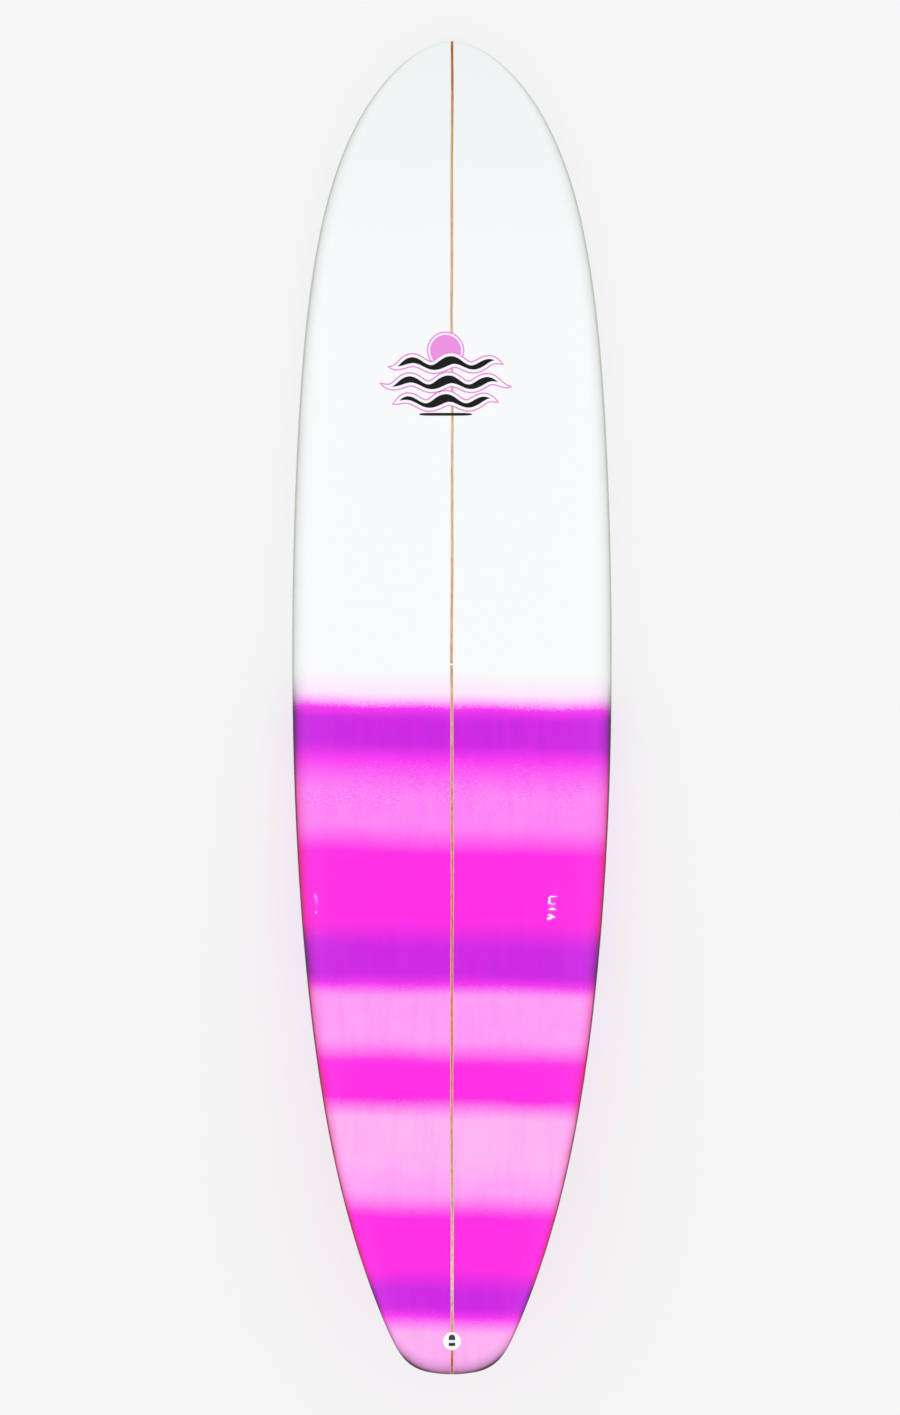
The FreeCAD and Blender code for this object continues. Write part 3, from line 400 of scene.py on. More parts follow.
class Finish:
    """A procedural material being made."""

    def __init__(self, name):
        self.material = bpy.data.materials.new(name)
        self.material.use_nodes = True
        self.tree = self.material.node_tree
        self.tree.nodes.clear()

    def node(self, kind, settings=None, sockets=None, take=0):
        """Add a node, set it up, then give its sockets values or links, and return one of its outputs."""
        made = self.tree.nodes.new(kind)
        for name, setting in (settings or {}).items():
            if name == "stops":
                self.set_stops(made.color_ramp, setting)
            else:
                setattr(made, name, setting)
        for name, given in (sockets or {}).items():
            if isinstance(given, Value):
                self.tree.links.new(given.socket, made.inputs[name])
            else:
                made.inputs[name].default_value = given
        return Value(self, made.outputs[take]) if made.outputs else None

    @staticmethod
    def set_stops(ramp, stops):
        """Give a colour ramp its stops, each a place from 0 to 1 and a colour."""
        while len(ramp.elements) > 1:
            ramp.elements.remove(ramp.elements[-1])
        ramp.elements[0].position = stops[0][0]
        ramp.elements[0].color = stops[0][1]
        for place, colour in stops[1:]:
            ramp.elements.new(place).color = colour

    def here(self):
        """The shaded point in the packed model's frame, which is every piece's own frame too."""
        return self.node("ShaderNodeTexCoord", take="Object")

    def dot(self, vector, axis):
        """How far a vector reaches along an axis."""
        return self.node(
            "ShaderNodeVectorMath", {"operation": "DOT_PRODUCT"}, {0: vector, 1: tuple(axis)}, take="Value")

    def stretched(self, vector, scales):
        """A vector with its parts multiplied, to draw a pattern out along an axis."""
        return self.node("ShaderNodeVectorMath", {"operation": "MULTIPLY"}, {0: vector, 1: scales})

    def distance(self, vector, point):
        """How far a vector's tip lies from a point."""
        return self.node(
            "ShaderNodeVectorMath", {"operation": "DISTANCE"}, {0: vector, 1: tuple(point)}, take="Value")

    def noise(self, vector, scale, detail=2.0, roughness=0.5):
        """Soft noise between 0 and 1."""
        return self.node(
            "ShaderNodeTexNoise", {"noise_dimensions": "3D"},
            {"Vector": vector, "Scale": scale, "Detail": detail, "Roughness": roughness})

    def cells(self, vector, scale):
        """Distance to the nearest of many scattered points."""
        return self.node("ShaderNodeTexVoronoi", {"feature": "F1"}, {"Vector": vector, "Scale": scale})

    def ramp(self, value, stops):
        """A colour for each place of a value."""
        return self.node("ShaderNodeValToRGB", {"stops": stops}, {"Fac": value})

    def mix(self, share, first, second, blend="MIX"):
        """Two colours mixed."""
        return self.node(
            "ShaderNodeMix", {"data_type": "RGBA", "blend_type": blend, "clamp_factor": True},
            {0: share, 6: first, 7: second}, take=2)

    def bump(self, height, depth, strength=1.0):
        """A normal from a height between 0 and 1 and its depth in metres."""
        return self.node("ShaderNodeBump", None, {"Strength": strength, "Distance": depth, "Height": height})

    def surface(self, **sockets):
        """Finish the material with one Principled shader; a name's _ stands for a space."""
        named = {name.replace("_", " "): given for name, given in sockets.items()}
        shader = self.node("ShaderNodeBsdfPrincipled", None, named)
        self.node("ShaderNodeOutputMaterial", None, {"Surface": shader})
        return self.material

    def board_place(self):
        """The shaded point, and its board frame places: from the tail end, and up."""
        point = self.here()
        from_tail = self.dot(point, ALONG) - TAIL.dot(ALONG)
        height = self.dot(point, UP) - TAIL.dot(UP)
        return point, from_tail, height

    def flatness(self, from_tail, height):
        """0 at the rail's edge, up to 1 along the middle of the deck and of the bottom."""
        aft = ((BELLY - from_tail) / BELLY).at_least(0.0)
        fore = ((from_tail - BELLY) / (LENGTH - BELLY)).at_least(0.0)
        bottom = aft ** TAIL_CURVE * TAIL_ROCKER + fore ** NOSE_CURVE * NOSE_ROCKER
        thin_aft = ((THICKEST - from_tail) / THICKEST).at_least(0.0) ** THINNING_CURVE
        thin_fore = ((from_tail - THICKEST) / (LENGTH - THICKEST)).at_least(0.0) ** THINNING_CURVE
        thickness = THICKNESS - thin_aft * TAIL_THINNING - thin_fore * NOSE_THINNING
        lift = (height - bottom) / thickness - RAIL_EDGE
        return (lift / (1 - RAIL_EDGE)).at_least(lift / -RAIL_EDGE)

    def edge(self, flatness, from_tail, across, spread):
        """Flatness with the tail's rounded end taken in, where it reaches 1 at spread from the end."""
        past_end = from_tail - (abs(across) / TAIL_HALF_WIDTH) ** TAIL_ROUNDING * TAIL_SWEEP
        return flatness.at_most((past_end.at_least(0.0) / spread) ** 0.5)


def wear_finish(name, finish):
    """Give a packed node's object a finish in every slot."""
    slots = frame["nodes"][name].material_slots
    if not slots:
        raise RuntimeError("packed node %s has no material slot" % name)
    for slot in slots:
        slot.material = finish


# ---------------------------------------------------------------- finishes


def run_stops(run, colours):
    """Ramp stops from a table of metres back from the nose and colour names."""
    return [(metres / LENGTH, linear(getattr(colours, name))) for metres, name in run]


def sprayed_glass(colours):
    """Sprayed bands under clear polished resin, with painted shade at the nose and round the rails, and
    painted shade and highlight on the orange peel.
    """
    finish = Finish("sprayed_glass")
    point, from_tail, height = finish.board_place()
    across = finish.dot(point, (1.0, 0.0, 0.0))
    wander = finish.noise(point, 7.0, 2.0) - 0.5
    scatter = finish.noise(point, 420.0, 2.0, 0.65) - 0.5
    drift = wander * (2 * colours.waver) + scatter * colours.speckle - across * colours.slant
    back = LENGTH - from_tail + drift
    sprayed = finish.ramp(back / LENGTH, run_stops(BANDS, colours))
    streaks = finish.noise(finish.stretched(point, (58.0, 3.2, 58.0)), 1.0, 4.0, 0.6)
    clouds = finish.noise(point, 14.0, 3.0, 0.6)
    coats = streaks.step(0.40, 0.72) * 0.6 + clouds.step(0.35, 0.7) * 0.4
    is_sprayed = back.step(*SPRAY_START)
    sprayed = finish.mix(coats * is_sprayed * 0.18, sprayed, linear(colours.bloom))
    # orange peel, with short marks across the board: painted shade in deeper pink and painted highlight in
    # paler pink on its bumps
    patch = back.step(*WET_START) * back.step(*WET_END) * clouds.step(0.38, 0.55)
    pits = finish.noise(finish.stretched(point, (210.0, 520.0, 210.0)), 1.0, 1.0)
    sprayed = finish.mix(patch * pits.step(0.52, 0.66) * 0.34, sprayed, linear(colours.bloom))
    sprayed = finish.mix(patch * pits.step(0.40, 0.28) * 0.14, sprayed, linear(colours.mist))
    # painted shade: the rails' darker colours mix in as the skin turns down to the rail's edge and round the
    # tail's end
    flatness = finish.flatness(from_tail, height)
    edge = finish.edge(flatness, from_tail, across, RAIL_SHADE_AT_TAIL)
    uneven = (finish.noise(point, 26.0, 3.0) - 0.5) * 0.06
    rail_shade = finish.ramp(back / LENGTH, run_stops(RAIL_SHADE_BANDS, colours))
    reach = ((RAIL_SHADE_START - edge - uneven) / RAIL_SHADE_WIDTH).at_least(0.0).at_most(1.0)
    colour = finish.mix(reach ** RAIL_SHADE_CURVE, sprayed, rail_shade)
    # a thin line of painted shade along the rail's edge, pale on the white and dark on the sprayed part
    line = finish.mix(is_sprayed, linear(colours.white_shade_line), linear(colours.dark_shade_line))
    at_shade_line = finish.edge(flatness, from_tail, across, SHADE_LINE_AT_TAIL).step(*SHADE_LINE_FADE)
    colour = finish.mix(at_shade_line, colour, line)
    ripple = finish.noise(point, 30.0, 1.0) * 0.3 + pits * patch * 2.0
    return finish.surface(
        Base_Color=colour, Roughness=0.42 + clouds * 0.08,
        Normal=finish.bump(ripple, 0.04 * MM, 0.5), **UNDER_RESIN)


def grained_wood(name, wood, under_resin):
    """Fine straight-grained wood whose colour changes along the board."""
    finish = Finish(name)
    point, from_tail, _ = finish.board_place()
    run = finish.noise(point, 3.5, 3.0) - 0.5
    back = LENGTH - from_tail + run * WOOD_WANDER
    tone = finish.ramp(back / LENGTH, run_stops(WOOD_RUN, wood))
    grain = finish.noise(finish.stretched(point, (900.0, 9.0, 900.0)), 1.0, 3.0, 0.6)
    flecks = finish.noise(finish.stretched(point, (420.0, 60.0, 420.0)), 1.0, 2.0)
    tone = finish.mix(grain.step(0.62, 0.38) * 0.55, tone, linear(wood.wood_dark), "MULTIPLY")
    tone = finish.mix(flecks.step(0.6, 0.8) * 0.35, tone, linear(wood.wood_straw))
    gloss = UNDER_RESIN if under_resin else {"Specular_IOR_Level": 0.25}
    return finish.surface(
        Base_Color=tone, Roughness=0.5 + grain * 0.15, Normal=finish.bump(grain, 0.1 * MM, 0.5), **gloss)


def glue_line(wood):
    """Resin-rich glue beside the stringer."""
    finish = Finish("stringer_glue")
    point = finish.here()
    mottle = finish.noise(point, 160.0, 3.0)
    colour = finish.mix(mottle.step(0.35, 0.7) * 0.5, linear(wood.glue), linear(wood.wood_tan))
    return finish.surface(Base_Color=colour, Roughness=0.45 + mottle * 0.1, **UNDER_RESIN)


def blown_foam(colours):
    """Shaped foam with its fine open cells."""
    finish = Finish("blown_foam")
    point = finish.here()
    cells = finish.cells(point, 900.0)
    patches = finish.noise(point, 9.0, 3.0)
    shaded = cells.step(0.5, 0.1) * 0.35 + patches * 0.15
    tone = finish.mix(shaded, linear(colours.foam), linear(colours.foam_cell))
    return finish.surface(Base_Color=tone, Roughness=0.9, Normal=finish.bump(cells, 0.3 * MM))


def ink(name, colour, fibre):
    """Printed ink on tissue under resin, with the tissue's fibres just showing."""
    finish = Finish(name)
    point = finish.here()
    fibres = finish.noise(finish.stretched(point, (700.0, 260.0, 700.0)), 1.0, 4.0, 0.7)
    shade = finish.mix(fibres.step(0.45, 0.75) * 0.22, linear(colour), linear(fibre))
    return finish.surface(Base_Color=shade, Roughness=0.4 + fibres * 0.15, **UNDER_RESIN)


def plug_nylon(colours, rim, axis):
    """White nylon with fine turning marks round its rim, darker down inside the opening: grime, and painted
    shade that deepens with depth.
    """
    finish = Finish("plug_nylon")
    point = finish.here()
    depth = Vector(rim).dot(Vector(axis)) - finish.dot(point, axis)
    radius = finish.distance(point, rim)
    specks = finish.noise(point, 900.0, 3.0, 0.6)
    outwards = finish.node("ShaderNodeCombineXYZ", None, {0: radius})
    turning = finish.node(
        "ShaderNodeTexWave", {"wave_type": "BANDS", "bands_direction": "X"},
        {"Vector": outwards, "Scale": 600.0, "Distortion": 0.6})
    # grime and painted shade, darker with depth below the rim
    dirt_and_shade = depth.step(0.0012, 0.0075) * 0.75 + depth.step(0.004, 0.012) * 0.2
    blotches = finish.noise(point, 420.0, 3.0)
    tone = finish.mix(dirt_and_shade + (blotches - 0.5) * dirt_and_shade * 0.5, linear(colours.plug), linear(colours.grime_and_shade))
    return finish.surface(
        Base_Color=tone, Roughness=0.34 + specks * 0.12, Specular_IOR_Level=0.4,
        Normal=finish.bump(turning * 0.4 + specks * 0.3, 0.03 * MM, 0.6))


def moulded_nylon(name, colour, flow_colour, roughness):
    """Glass-filled nylon: flow marks, a fine eggshell texture and faint handling scratches."""
    finish = Finish(name)
    point = finish.here()
    flow = finish.noise(finish.stretched(point, (60.0, 22.0, 60.0)), 1.0, 4.0, 0.55)
    eggshell = finish.noise(point, 1500.0, 2.0)
    scratches = finish.noise(finish.stretched(point, (1800.0, 60.0, 300.0)), 1.0, 2.0, 0.7)
    shade = finish.mix(flow.step(0.4, 0.7) * 0.5, linear(colour), linear(flow_colour))
    worn = scratches.step(0.66, 0.78)
    shade = finish.mix(worn * 0.25, shade, linear(flow_colour))
    return finish.surface(
        Base_Color=shade, Roughness=roughness + flow * 0.12 + worn * 0.15, Specular_IOR_Level=0.5,
        Normal=finish.bump(eggshell * 0.7 + flow * 0.3, 0.06 * MM, 0.5))


def worked_metal(name, colour, dull_colour):
    """Turned metal, a little dulled in patches."""
    finish = Finish(name)
    point = finish.here()
    lathe = finish.noise(finish.stretched(point, (300.0, 300.0, 4000.0)), 1.0, 2.0)
    dull = finish.noise(point, 260.0, 3.0, 0.6)
    tone = finish.mix(dull.step(0.45, 0.75) * 0.6, linear(colour), linear(dull_colour))
    return finish.surface(
        Base_Color=tone, Metallic=1.0, Roughness=0.22 + dull * 0.22,
        Normal=finish.bump(lathe, 0.02 * MM, 0.6))


# ---------------------------------------------------------------- making pieces


def piece_from(name, bm, finishes):
    """Turn a bmesh in the packed frame into a smooth object that rides on the board."""
    mesh = bpy.data.meshes.new(name)
    bm.to_mesh(mesh)
    bm.free()
    for made in finishes:
        mesh.materials.append(made)
    mesh.shade_smooth()
    piece = bpy.data.objects.new(name, mesh)
    bpy.context.scene.collection.objects.link(piece)
    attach(piece, "board")
    return piece


def skin_tree(name):
    """A search tree over a packed node's surface."""
    bm = bmesh.new()
    bm.from_mesh(frame["nodes"][name].data)
    tree = BVHTree.FromBMesh(bm)
    bm.free()
    return tree


def lay_on(verts, tree, side, lift):
    """Drop points of the board's frame on to its skin, side 1 for the deck and -1 for the bottom.

    They end up in the packed frame, as far off the skin as lift says.
    """
    for vert in verts:
        above = BOARD @ Vector((vert.co.x, vert.co.y, side * CLEAR))
        hit, normal, _, _ = tree.ray_cast(above, -side * UP)
        if hit is None:
            raise RuntimeError("nothing to lay the print or the stringer on at %s" % vert.co)
        if normal.dot(UP) * side < 0:
            normal = -normal
        vert.co = hit + normal * lift


def strip_of(bm, rows, placed, slots):
    """A flat strip of faces.

    placed(column, row) gives each point its place, and slots gives each column of faces its material.
    """
    columns = len(slots)
    verts = bmesh.ops.create_grid(bm, x_segments=columns, y_segments=rows, size=1.0)["verts"]
    column_of = {vert: round((vert.co.x + 1) / 2 * columns) for vert in verts}
    row_of = {vert: round((vert.co.y + 1) / 2 * rows) for vert in verts}
    for vert in verts:
        vert.co = Vector((*placed(column_of[vert], row_of[vert]), 0.0))
    for face in {face for vert in verts for face in vert.link_faces}:
        face.material_index = slots[min(column_of[vert] for vert in face.verts)]
    return verts


def thicken(bm, side, thickness):
    """Clean a layer laid on a skin and give it a thickness into the skin, side as in lay_on."""
    bmesh.ops.remove_doubles(bm, verts=bm.verts[:], dist=0.01 * MM)
    bmesh.ops.dissolve_degenerate(bm, edges=bm.edges[:], dist=0.01 * MM)
    bm.normal_update()
    inwards = [face for face in bm.faces if face.normal.dot(UP) * side < 0]
    bmesh.ops.reverse_faces(bm, faces=inwards)
    bm.normal_update()
    bmesh.ops.solidify(bm, geom=bm.faces[:], thickness=thickness)
    bmesh.ops.recalc_face_normals(bm, faces=bm.faces[:])


def board_extent(name):
    """Lowest and highest places along the board that a packed node reaches."""
    from_tail = [(vert.co - TAIL).dot(ALONG) for vert in frame["nodes"][name].data.vertices]
    return min(from_tail), max(from_tail)


def mount(name):
    """A mount of the packed record."""
    return next(item for item in frame["record"]["mounts"] if item["name"] == name)


# ---------------------------------------------------------------- operators


class SURFBOARD_OT_skins(bpy.types.Operator):
    """Spray and polish the deck's and the bottom's glass skins"""

    bl_idname = "surfboard.skins"
    bl_label = "Spray the skins"

    def execute(self, context):
        glass = sprayed_glass(context.scene.surfboard_spray)
        wear_finish("deck_laminate", glass)
        wear_finish("bottom_laminate", glass)
        return {"FINISHED"}


class SURFBOARD_OT_blank(bpy.types.Operator):
    """Finish the foam halves and the stringer inside the skins"""

    bl_idname = "surfboard.blank"
    bl_label = "Finish the blank"

    def execute(self, context):
        foam = blown_foam(context.scene.surfboard_fittings)
        wear_finish("foam_left", foam)
        wear_finish("foam_right", foam)
        wood = grained_wood("bare_stringer_wood", context.scene.surfboard_wood, under_resin=False)
        wear_finish("stringer", wood)
        return {"FINISHED"}


class SURFBOARD_OT_stringer_edges(bpy.types.Operator):
    """Lay the stringer's edges, seen through the resin, along the deck and the bottom"""

    bl_idname = "surfboard.stringer_edges"
    bl_label = "Show the stringer's edges"

    def execute(self, context):
        wood = context.scene.surfboard_wood
        half = wood.width / 2
        outer = half + wood.glue_width
        across = (-outer, -half, -half / 3, half / 3, half, outer)
        cup = Vector(mount("leash_cup_rim")["pos_m"])
        cup_middle = (cup - TAIL).dot(ALONG)
        box_back, box_front = board_extent("centre_fin_box")
        tail_tip, nose_tip = TIP_GAP, LENGTH - TIP_GAP
        # each face's side, and where its strip starts and ends before and after the fitting in its way
        runs = {
            "deck": (1, ((tail_tip, cup_middle - CUP_RADIUS), (cup_middle + CUP_RADIUS, nose_tip))),
            "bottom": (-1, ((tail_tip, box_back), (box_front, nose_tip))),
        }
        # in the order of WOOD and GLUE
        finishes = (grained_wood("glazed_stringer_wood", wood, under_resin=True), glue_line(wood))
        for face, (side, spans) in runs.items():
            tree = skin_tree(face + "_laminate")
            bm = bmesh.new()
            for start, end in spans:
                stations = self.stations(start, end)

                def placed(column, row):
                    along = stations[row]
                    sway = sum(size * math.sin(along * pace + phase) for pace, size, phase in SWAYS)
                    grown = min(1.0, SWAY_GROWTH * min(along, LENGTH - along))
                    return across[column] + wood.waver * sway * grown, along

                verts = strip_of(bm, len(stations) - 1, placed, (GLUE, WOOD, WOOD, WOOD, GLUE))
                lay_on(verts, tree, side, STRIP_LIFT)
            thicken(bm, side, STRIP_DEPTH)
            piece_from("stringer_edge_" + face, bm, finishes)
        return {"FINISHED"}

    @staticmethod
    def stations(start, end):
        """Places along a run of the stringer, closer together near the board's two ends."""
        places = [start, end]
        steps = round((end - start) / STRIP_STEP)
        places += [start + (end - start) * index / steps for index in range(1, steps)]
        for gap in END_STEPS:
            places += [place for place in (gap, LENGTH - gap) if start < place < end]
        return sorted(set(places))


class SURFBOARD_OT_deck_print(bpy.types.Operator):
    """Lay the printed sun, waves and bar on the deck, in place of the blank tissue"""

    bl_idname = "surfboard.deck_print"
    bl_label = "Print the deck"

    def execute(self, context):
        inks = context.scene.surfboard_inks
        low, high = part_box("deck_emblem")
        middle = (low + high) / 2 - TAIL
        centre = Vector((middle.x, middle.dot(ALONG)))
        tree = skin_tree("deck_laminate")
        bm = bmesh.new()
        self.sun(bm, tree, inks, centre + Vector((0.0, SUN_RISE)))
        for rise, reach, phase in WAVES:
            self.wave(bm, tree, inks, centre + Vector((0.0, rise)), reach, phase)
        self.bar(bm, tree, centre - Vector((0.0, BAR_DROP)))
        thicken(bm, 1, PRINT_DEPTH)
        # in the order of BLACK, BACKING and ORCHID
        finishes = (
            ink("black_ink", inks.black, inks.black_fibre),
            ink("white_backing", inks.backing, inks.backing_fibre),
            ink("orchid_ink", inks.orchid, inks.orchid_fibre),
        )
        piece = piece_from("deck_print", bm, finishes)
        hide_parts("deck_emblem")
        return {"FINISHED"}

    @staticmethod
    def sun(bm, tree, inks, centre):
        """A disc with a ring round it."""
        verts = bmesh.ops.create_circle(
            bm, cap_ends=True, segments=SUN_SIDES, radius=SUN_RADIUS)["verts"]
        disc = verts[0].link_faces[0]
        rings = [(inks.outline, ORCHID), (inks.gap * SUN_GAP, BACKING)]
        # the last rings only divide the disc, so that it can follow the deck's curve
        rings += [(SUN_RADIUS * SUN_RING_WIDTH, ORCHID)] * SUN_RINGS
        made = [disc]
        for width, slot in rings:
            ring = bmesh.ops.inset_region(
                bm, faces=[disc], thickness=width, use_even_offset=True,
                use_boundary=True)["faces"]
            for face in ring:
                face.material_index = slot
            made += ring
        disc.material_index = ORCHID
        verts = list({vert for face in made for vert in face.verts})
        bmesh.ops.translate(bm, verts=verts, vec=(centre.x, centre.y, 0.0))
        lay_on(verts, tree, 1, PRINT_LIFT)

    @staticmethod
    def wave(bm, tree, inks, centre, reach, phase):
        """A swelling brush stroke: black, backed with white and outlined in orchid."""
        rows = round(2 * reach / WAVE_STEP)
        full = inks.stroke + inks.gap + inks.outline

        def placed(column, row):
            share = 2 * row / rows - 1
            swell = phase + share * reach * SWELL_PACE
            line = Vector((share * reach, SWELL_HEIGHT * math.sin(swell)))
            slope = Vector((1.0, SWELL_HEIGHT * SWELL_PACE * math.cos(swell))).normalized()
            taper = (1 - abs(share) ** TAPER_SQUARENESS) ** TAPER_CURVE
            pressure = 1 + PRESSURE * math.sin(swell + PRESSURE_LEAD)
            half = full * taper * pressure
            white = max(0.0, half - inks.outline)
            black = max(0.0, white - inks.gap)
            reaches = (-half, -white, -black, -black / 3, black / 3, black, white, half)
            place = centre + line + Vector((-slope.y, slope.x)) * reaches[column]
            return place.x, place.y

        inks_across = (ORCHID, BACKING, BLACK, BLACK, BLACK, BACKING, ORCHID)
        verts = strip_of(bm, rows, placed, inks_across)
        lay_on(verts, tree, 1, WAVE_LIFT)

    @staticmethod
    def bar(bm, tree, centre):
        """A plain black bar under the waves, rounded off at its ends."""

        def placed(column, row):
            share = 2 * row / BAR_STEPS - 1
            half = BAR_HALF_HEIGHT * (1 - abs(share) ** BAR_SQUARENESS) ** 0.5
            return centre.x + share * BAR_REACH, centre.y + (column - 1) * half

        verts = strip_of(bm, BAR_STEPS, placed, (BLACK, BLACK))
        lay_on(verts, tree, 1, PRINT_LIFT)


class SURFBOARD_OT_leash_plug(bpy.types.Operator):
    """Finish the leash plug and its bar"""

    bl_idname = "surfboard.leash_plug"
    bl_label = "Finish the leash plug"

    def execute(self, context):
        fittings = context.scene.surfboard_fittings
        rim = mount("leash_cup_rim")
        middle = Vector((0.0, *rim["pos_m"][1:]))
        wear_finish("leash_cup", plug_nylon(fittings, middle, rim["axis"]))
        wear_finish("leash_bar", moulded_nylon("bar_nylon", fittings.plug, fittings.bar_flow, 0.3))
        return {"FINISHED"}


class SURFBOARD_OT_centre_fin(bpy.types.Operator):
    """Finish the centre fin, its box, pin, plate and screw"""

    bl_idname = "surfboard.centre_fin"
    bl_label = "Finish the centre fin"

    def execute(self, context):
        fittings = context.scene.surfboard_fittings
        wear_finish("centre_fin", moulded_nylon("fin_nylon", fittings.fin, fittings.fin_flow, 0.3))
        plastic = moulded_nylon("box_plastic", fittings.fin_box, fittings.box_flow, 0.5)
        wear_finish("centre_fin_box", plastic)
        wear_finish("fin_roll_pin", worked_metal("pin_brass", fittings.brass, fittings.brass_dull))
        steel = worked_metal("screw_steel", fittings.steel, fittings.steel_dull)
        wear_finish("fin_plate", steel)
        wear_finish("fin_screw", steel)
        return {"FINISHED"}


class SURFBOARD_OT_side_fins(bpy.types.Operator):
    """Finish the side fins, their plugs and grub screws"""

    bl_idname = "surfboard.side_fins"
    bl_label = "Finish the side fins"

    def execute(self, context):
        fittings = context.scene.surfboard_fittings
        nylon = moulded_nylon("side_fin_nylon", fittings.fin, fittings.fin_flow, 0.32)
        plastic = moulded_nylon("plug_plastic", fittings.fin_box, fittings.plug_flow, 0.48)
        steel = worked_metal("grub_steel", fittings.steel, fittings.grub_dull)
        for side in ("left", "right"):
            wear_finish("side_fin_" + side, nylon)
            for end in ("front", "rear"):
                wear_finish("side_fin_plug_%s_%s" % (side, end), plastic)
                wear_finish("grub_screw_%s_%s" % (side, end), steel)
        return {"FINISHED"}


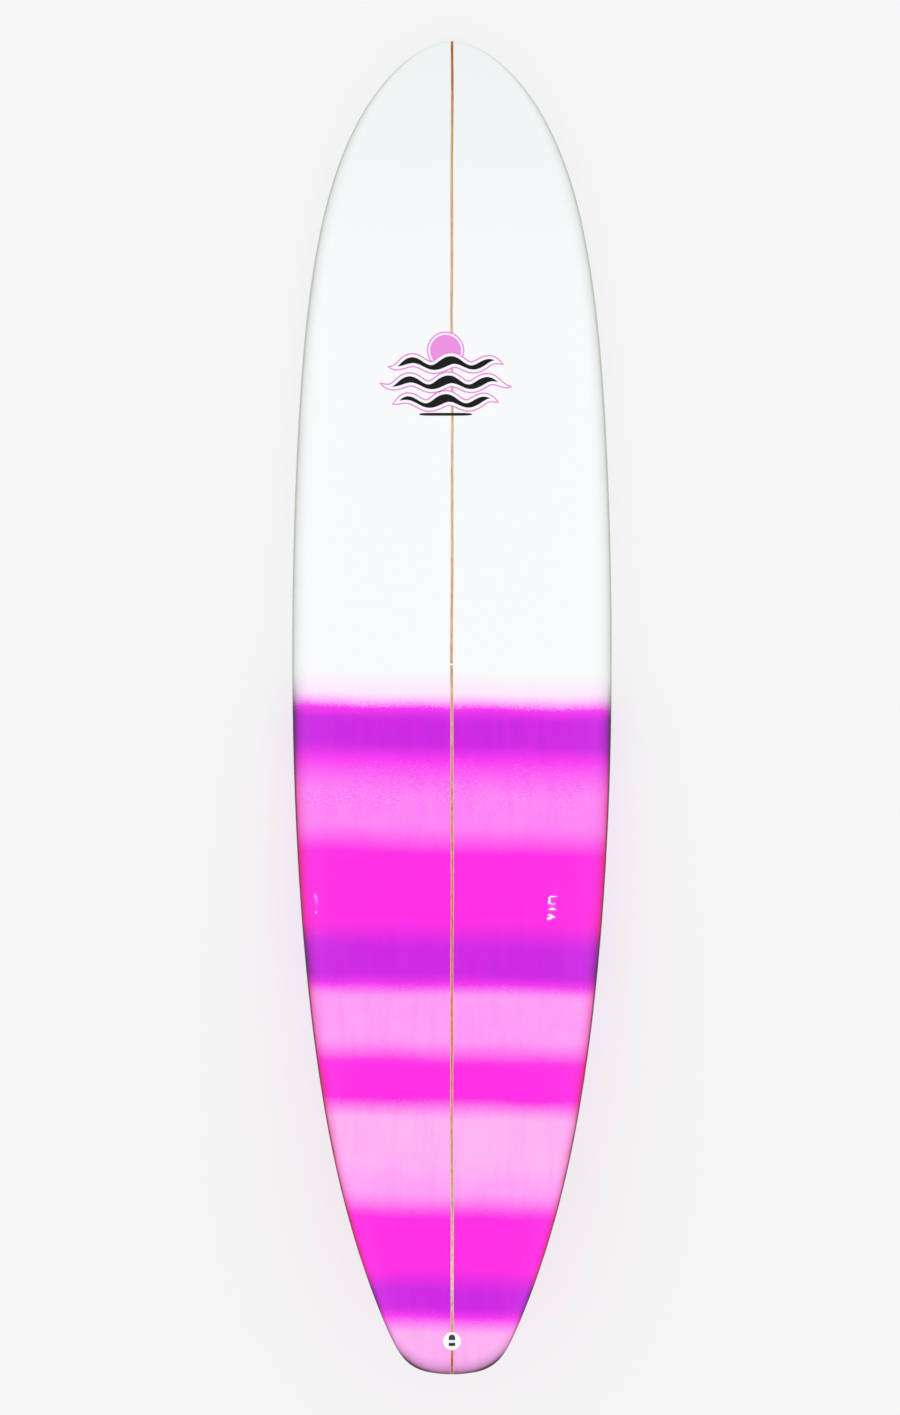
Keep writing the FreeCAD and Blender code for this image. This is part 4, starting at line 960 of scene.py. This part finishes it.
class SURFBOARD_OT_studio(bpy.types.Operator):
    """Lay the pale floor, light it evenly and set up the camera"""

    bl_idname = "surfboard.studio"
    bl_label = "Set up the studio"

    def execute(self, context):
        studio = context.scene.surfboard_studio
        context.scene.view_settings.view_transform = "Standard"
        self.floor(studio)
        self.dome(context.scene, studio)
        eye = self.camera(context.scene, studio)
        for name, (spot, sides, share) in LAMPS.items():
            self.lamp(name, studio, eye, spot, sides, share)
        return {"FINISHED"}

    @staticmethod
    def floor(studio):
        """A pale floor that gives off some light of its own."""
        bm = bmesh.new()
        bmesh.ops.create_grid(bm, x_segments=4, y_segments=4, size=FLOOR_REACH)
        mesh = bpy.data.meshes.new("studio_floor")
        bm.to_mesh(mesh)
        bm.free()
        finish = Finish("pale_floor")
        shade = finish.noise(finish.here(), 0.7, 2.0)
        tone = finish.mix(shade * 0.3, linear(studio.floor), linear(studio.floor_cloud))
        mesh.materials.append(finish.surface(
            Base_Color=tone, Roughness=0.9, Specular_IOR_Level=0.0,
            Emission_Color=(1.0, 1.0, 1.0, 1.0), Emission_Strength=studio.floor_glow))
        floor = bpy.data.objects.new("studio_floor", mesh)
        bpy.context.scene.collection.objects.link(floor)

    @staticmethod
    def dome(scene, studio):
        """Even light from the whole sky, dimmer at the horizon and straight up."""
        world = bpy.data.worlds.new("studio_dome")
        world.use_nodes = True
        tree = world.node_tree
        tree.nodes.clear()
        direction = tree.nodes.new("ShaderNodeTexCoord")
        height = tree.nodes.new("ShaderNodeSeparateXYZ")
        ramp = tree.nodes.new("ShaderNodeValToRGB")
        sky = tree.nodes.new("ShaderNodeBackground")
        output = tree.nodes.new("ShaderNodeOutputWorld")
        greys = [(place, (level, level, level, 1.0)) for place, level in SKY]
        Finish.set_stops(ramp.color_ramp, greys)
        tree.links.new(direction.outputs["Generated"], height.inputs[0])
        tree.links.new(height.outputs["Z"], ramp.inputs["Fac"])
        tree.links.new(ramp.outputs["Color"], sky.inputs["Color"])
        tree.links.new(sky.outputs["Background"], output.inputs["Surface"])
        sky.inputs["Strength"].default_value = studio.dome
        scene.world = world

    @staticmethod
    def lamp(name, studio, eye, spot, sides, share):
        """A small lamp whose glint the camera sees at a spot of the deck."""
        tree = skin_tree("deck_laminate")

        def skin_by(across, along):
            """The deck's skin, so far from the spot."""
            above = BOARD @ Vector((spot[0] + across, spot[1] + along, CLEAR))
            return tree.ray_cast(above, -UP)[0]

        hit = skin_by(0.0, 0.0)
        slope_across = skin_by(SLOPE_ACROSS, 0.0) - skin_by(-SLOPE_ACROSS, 0.0)
        slope_along = skin_by(0.0, SLOPE_ALONG) - skin_by(0.0, -SLOPE_ALONG)
        normal = slope_across.cross(slope_along).normalized()
        seen_from = (eye - hit).normalized()
        towards = 2 * normal.dot(seen_from) * normal - seen_from
        data = bpy.data.lights.new(name, "AREA")
        data.shape = "RECTANGLE"
        data.size, data.size_y = sides
        # power that goes with the lamp's area keeps the glint as bright at any size
        data.energy = studio.glare * share * math.pi * sides[0] * sides[1]
        lamp = bpy.data.objects.new(name, data)
        facing = towards.to_track_quat("Z", "Y").to_matrix().to_4x4()
        lamp.matrix_world = Matrix.Translation(hit + towards * LAMP_AWAY) @ facing
        bpy.context.scene.collection.objects.link(lamp)

    @staticmethod
    def camera(scene, studio):
        """A long lens square on to the deck, with the nose at the top; returns its place."""
        data = bpy.data.cameras.new("studio_camera")
        data.lens = studio.lens
        data.sensor_width = SENSOR
        distance = studio.lens * studio.view_height / SENSOR
        data.clip_start, data.clip_end = distance * NEAR, distance * FAR
        along = LENGTH / 2 + studio.nose_step
        eye = BOARD @ Vector((-studio.side_step, along, DECK_LEVEL + distance))
        camera = bpy.data.objects.new("studio_camera", data)
        camera.matrix_world = Matrix.Translation(eye) @ Matrix.Rotation(-LIE, 4, "X")
        scene.collection.objects.link(camera)
        scene.camera = camera
        return eye


class SURFBOARD_PT_looks(bpy.types.Panel):
    """Shows a button for each step, and the settings of colours, sizes and studio"""

    bl_idname = "SURFBOARD_PT_looks"
    bl_label = "Surfboard"
    bl_space_type = "VIEW_3D"
    bl_region_type = "UI"
    bl_category = "Surfboard"

    def draw(self, context):
        for step in STEPS:
            self.layout.operator(step.bl_idname)
        for name, kind in SETTINGS.items():
            settings = getattr(context.scene, name)
            box = self.layout.box()
            box.label(text=kind.__doc__)
            for key in kind.__annotations__:
                box.prop(settings, key)


SETTINGS = {
    "surfboard_spray": SprayColours,
    "surfboard_wood": StringerWood,
    "surfboard_inks": PrintInks,
    "surfboard_fittings": FittingColours,
    "surfboard_studio": Studio,
}
STEPS = (
    SURFBOARD_OT_skins,
    SURFBOARD_OT_blank,
    SURFBOARD_OT_stringer_edges,
    SURFBOARD_OT_deck_print,
    SURFBOARD_OT_leash_plug,
    SURFBOARD_OT_centre_fin,
    SURFBOARD_OT_side_fins,
    SURFBOARD_OT_studio,
)


def register():
    """Register the settings, the operators and the panel."""
    for kind in (*SETTINGS.values(), *STEPS, SURFBOARD_PT_looks):
        bpy.utils.register_class(kind)
    for name, kind in SETTINGS.items():
        setattr(bpy.types.Scene, name, PointerProperty(type=kind))


def unregister():
    """Undo register."""
    for name in SETTINGS:
        delattr(bpy.types.Scene, name)
    for kind in (SURFBOARD_PT_looks, *reversed(STEPS), *reversed(SETTINGS.values())):
        bpy.utils.unregister_class(kind)


def main():
    """Register the add-on, then make every piece, its finishes and the studio."""
    register()
    bpy.ops.surfboard.skins()
    bpy.ops.surfboard.blank()
    bpy.ops.surfboard.stringer_edges()
    bpy.ops.surfboard.deck_print()
    bpy.ops.surfboard.leash_plug()
    bpy.ops.surfboard.centre_fin()
    bpy.ops.surfboard.side_fins()
    bpy.ops.surfboard.studio()


if __name__ == "__main__":
    main()
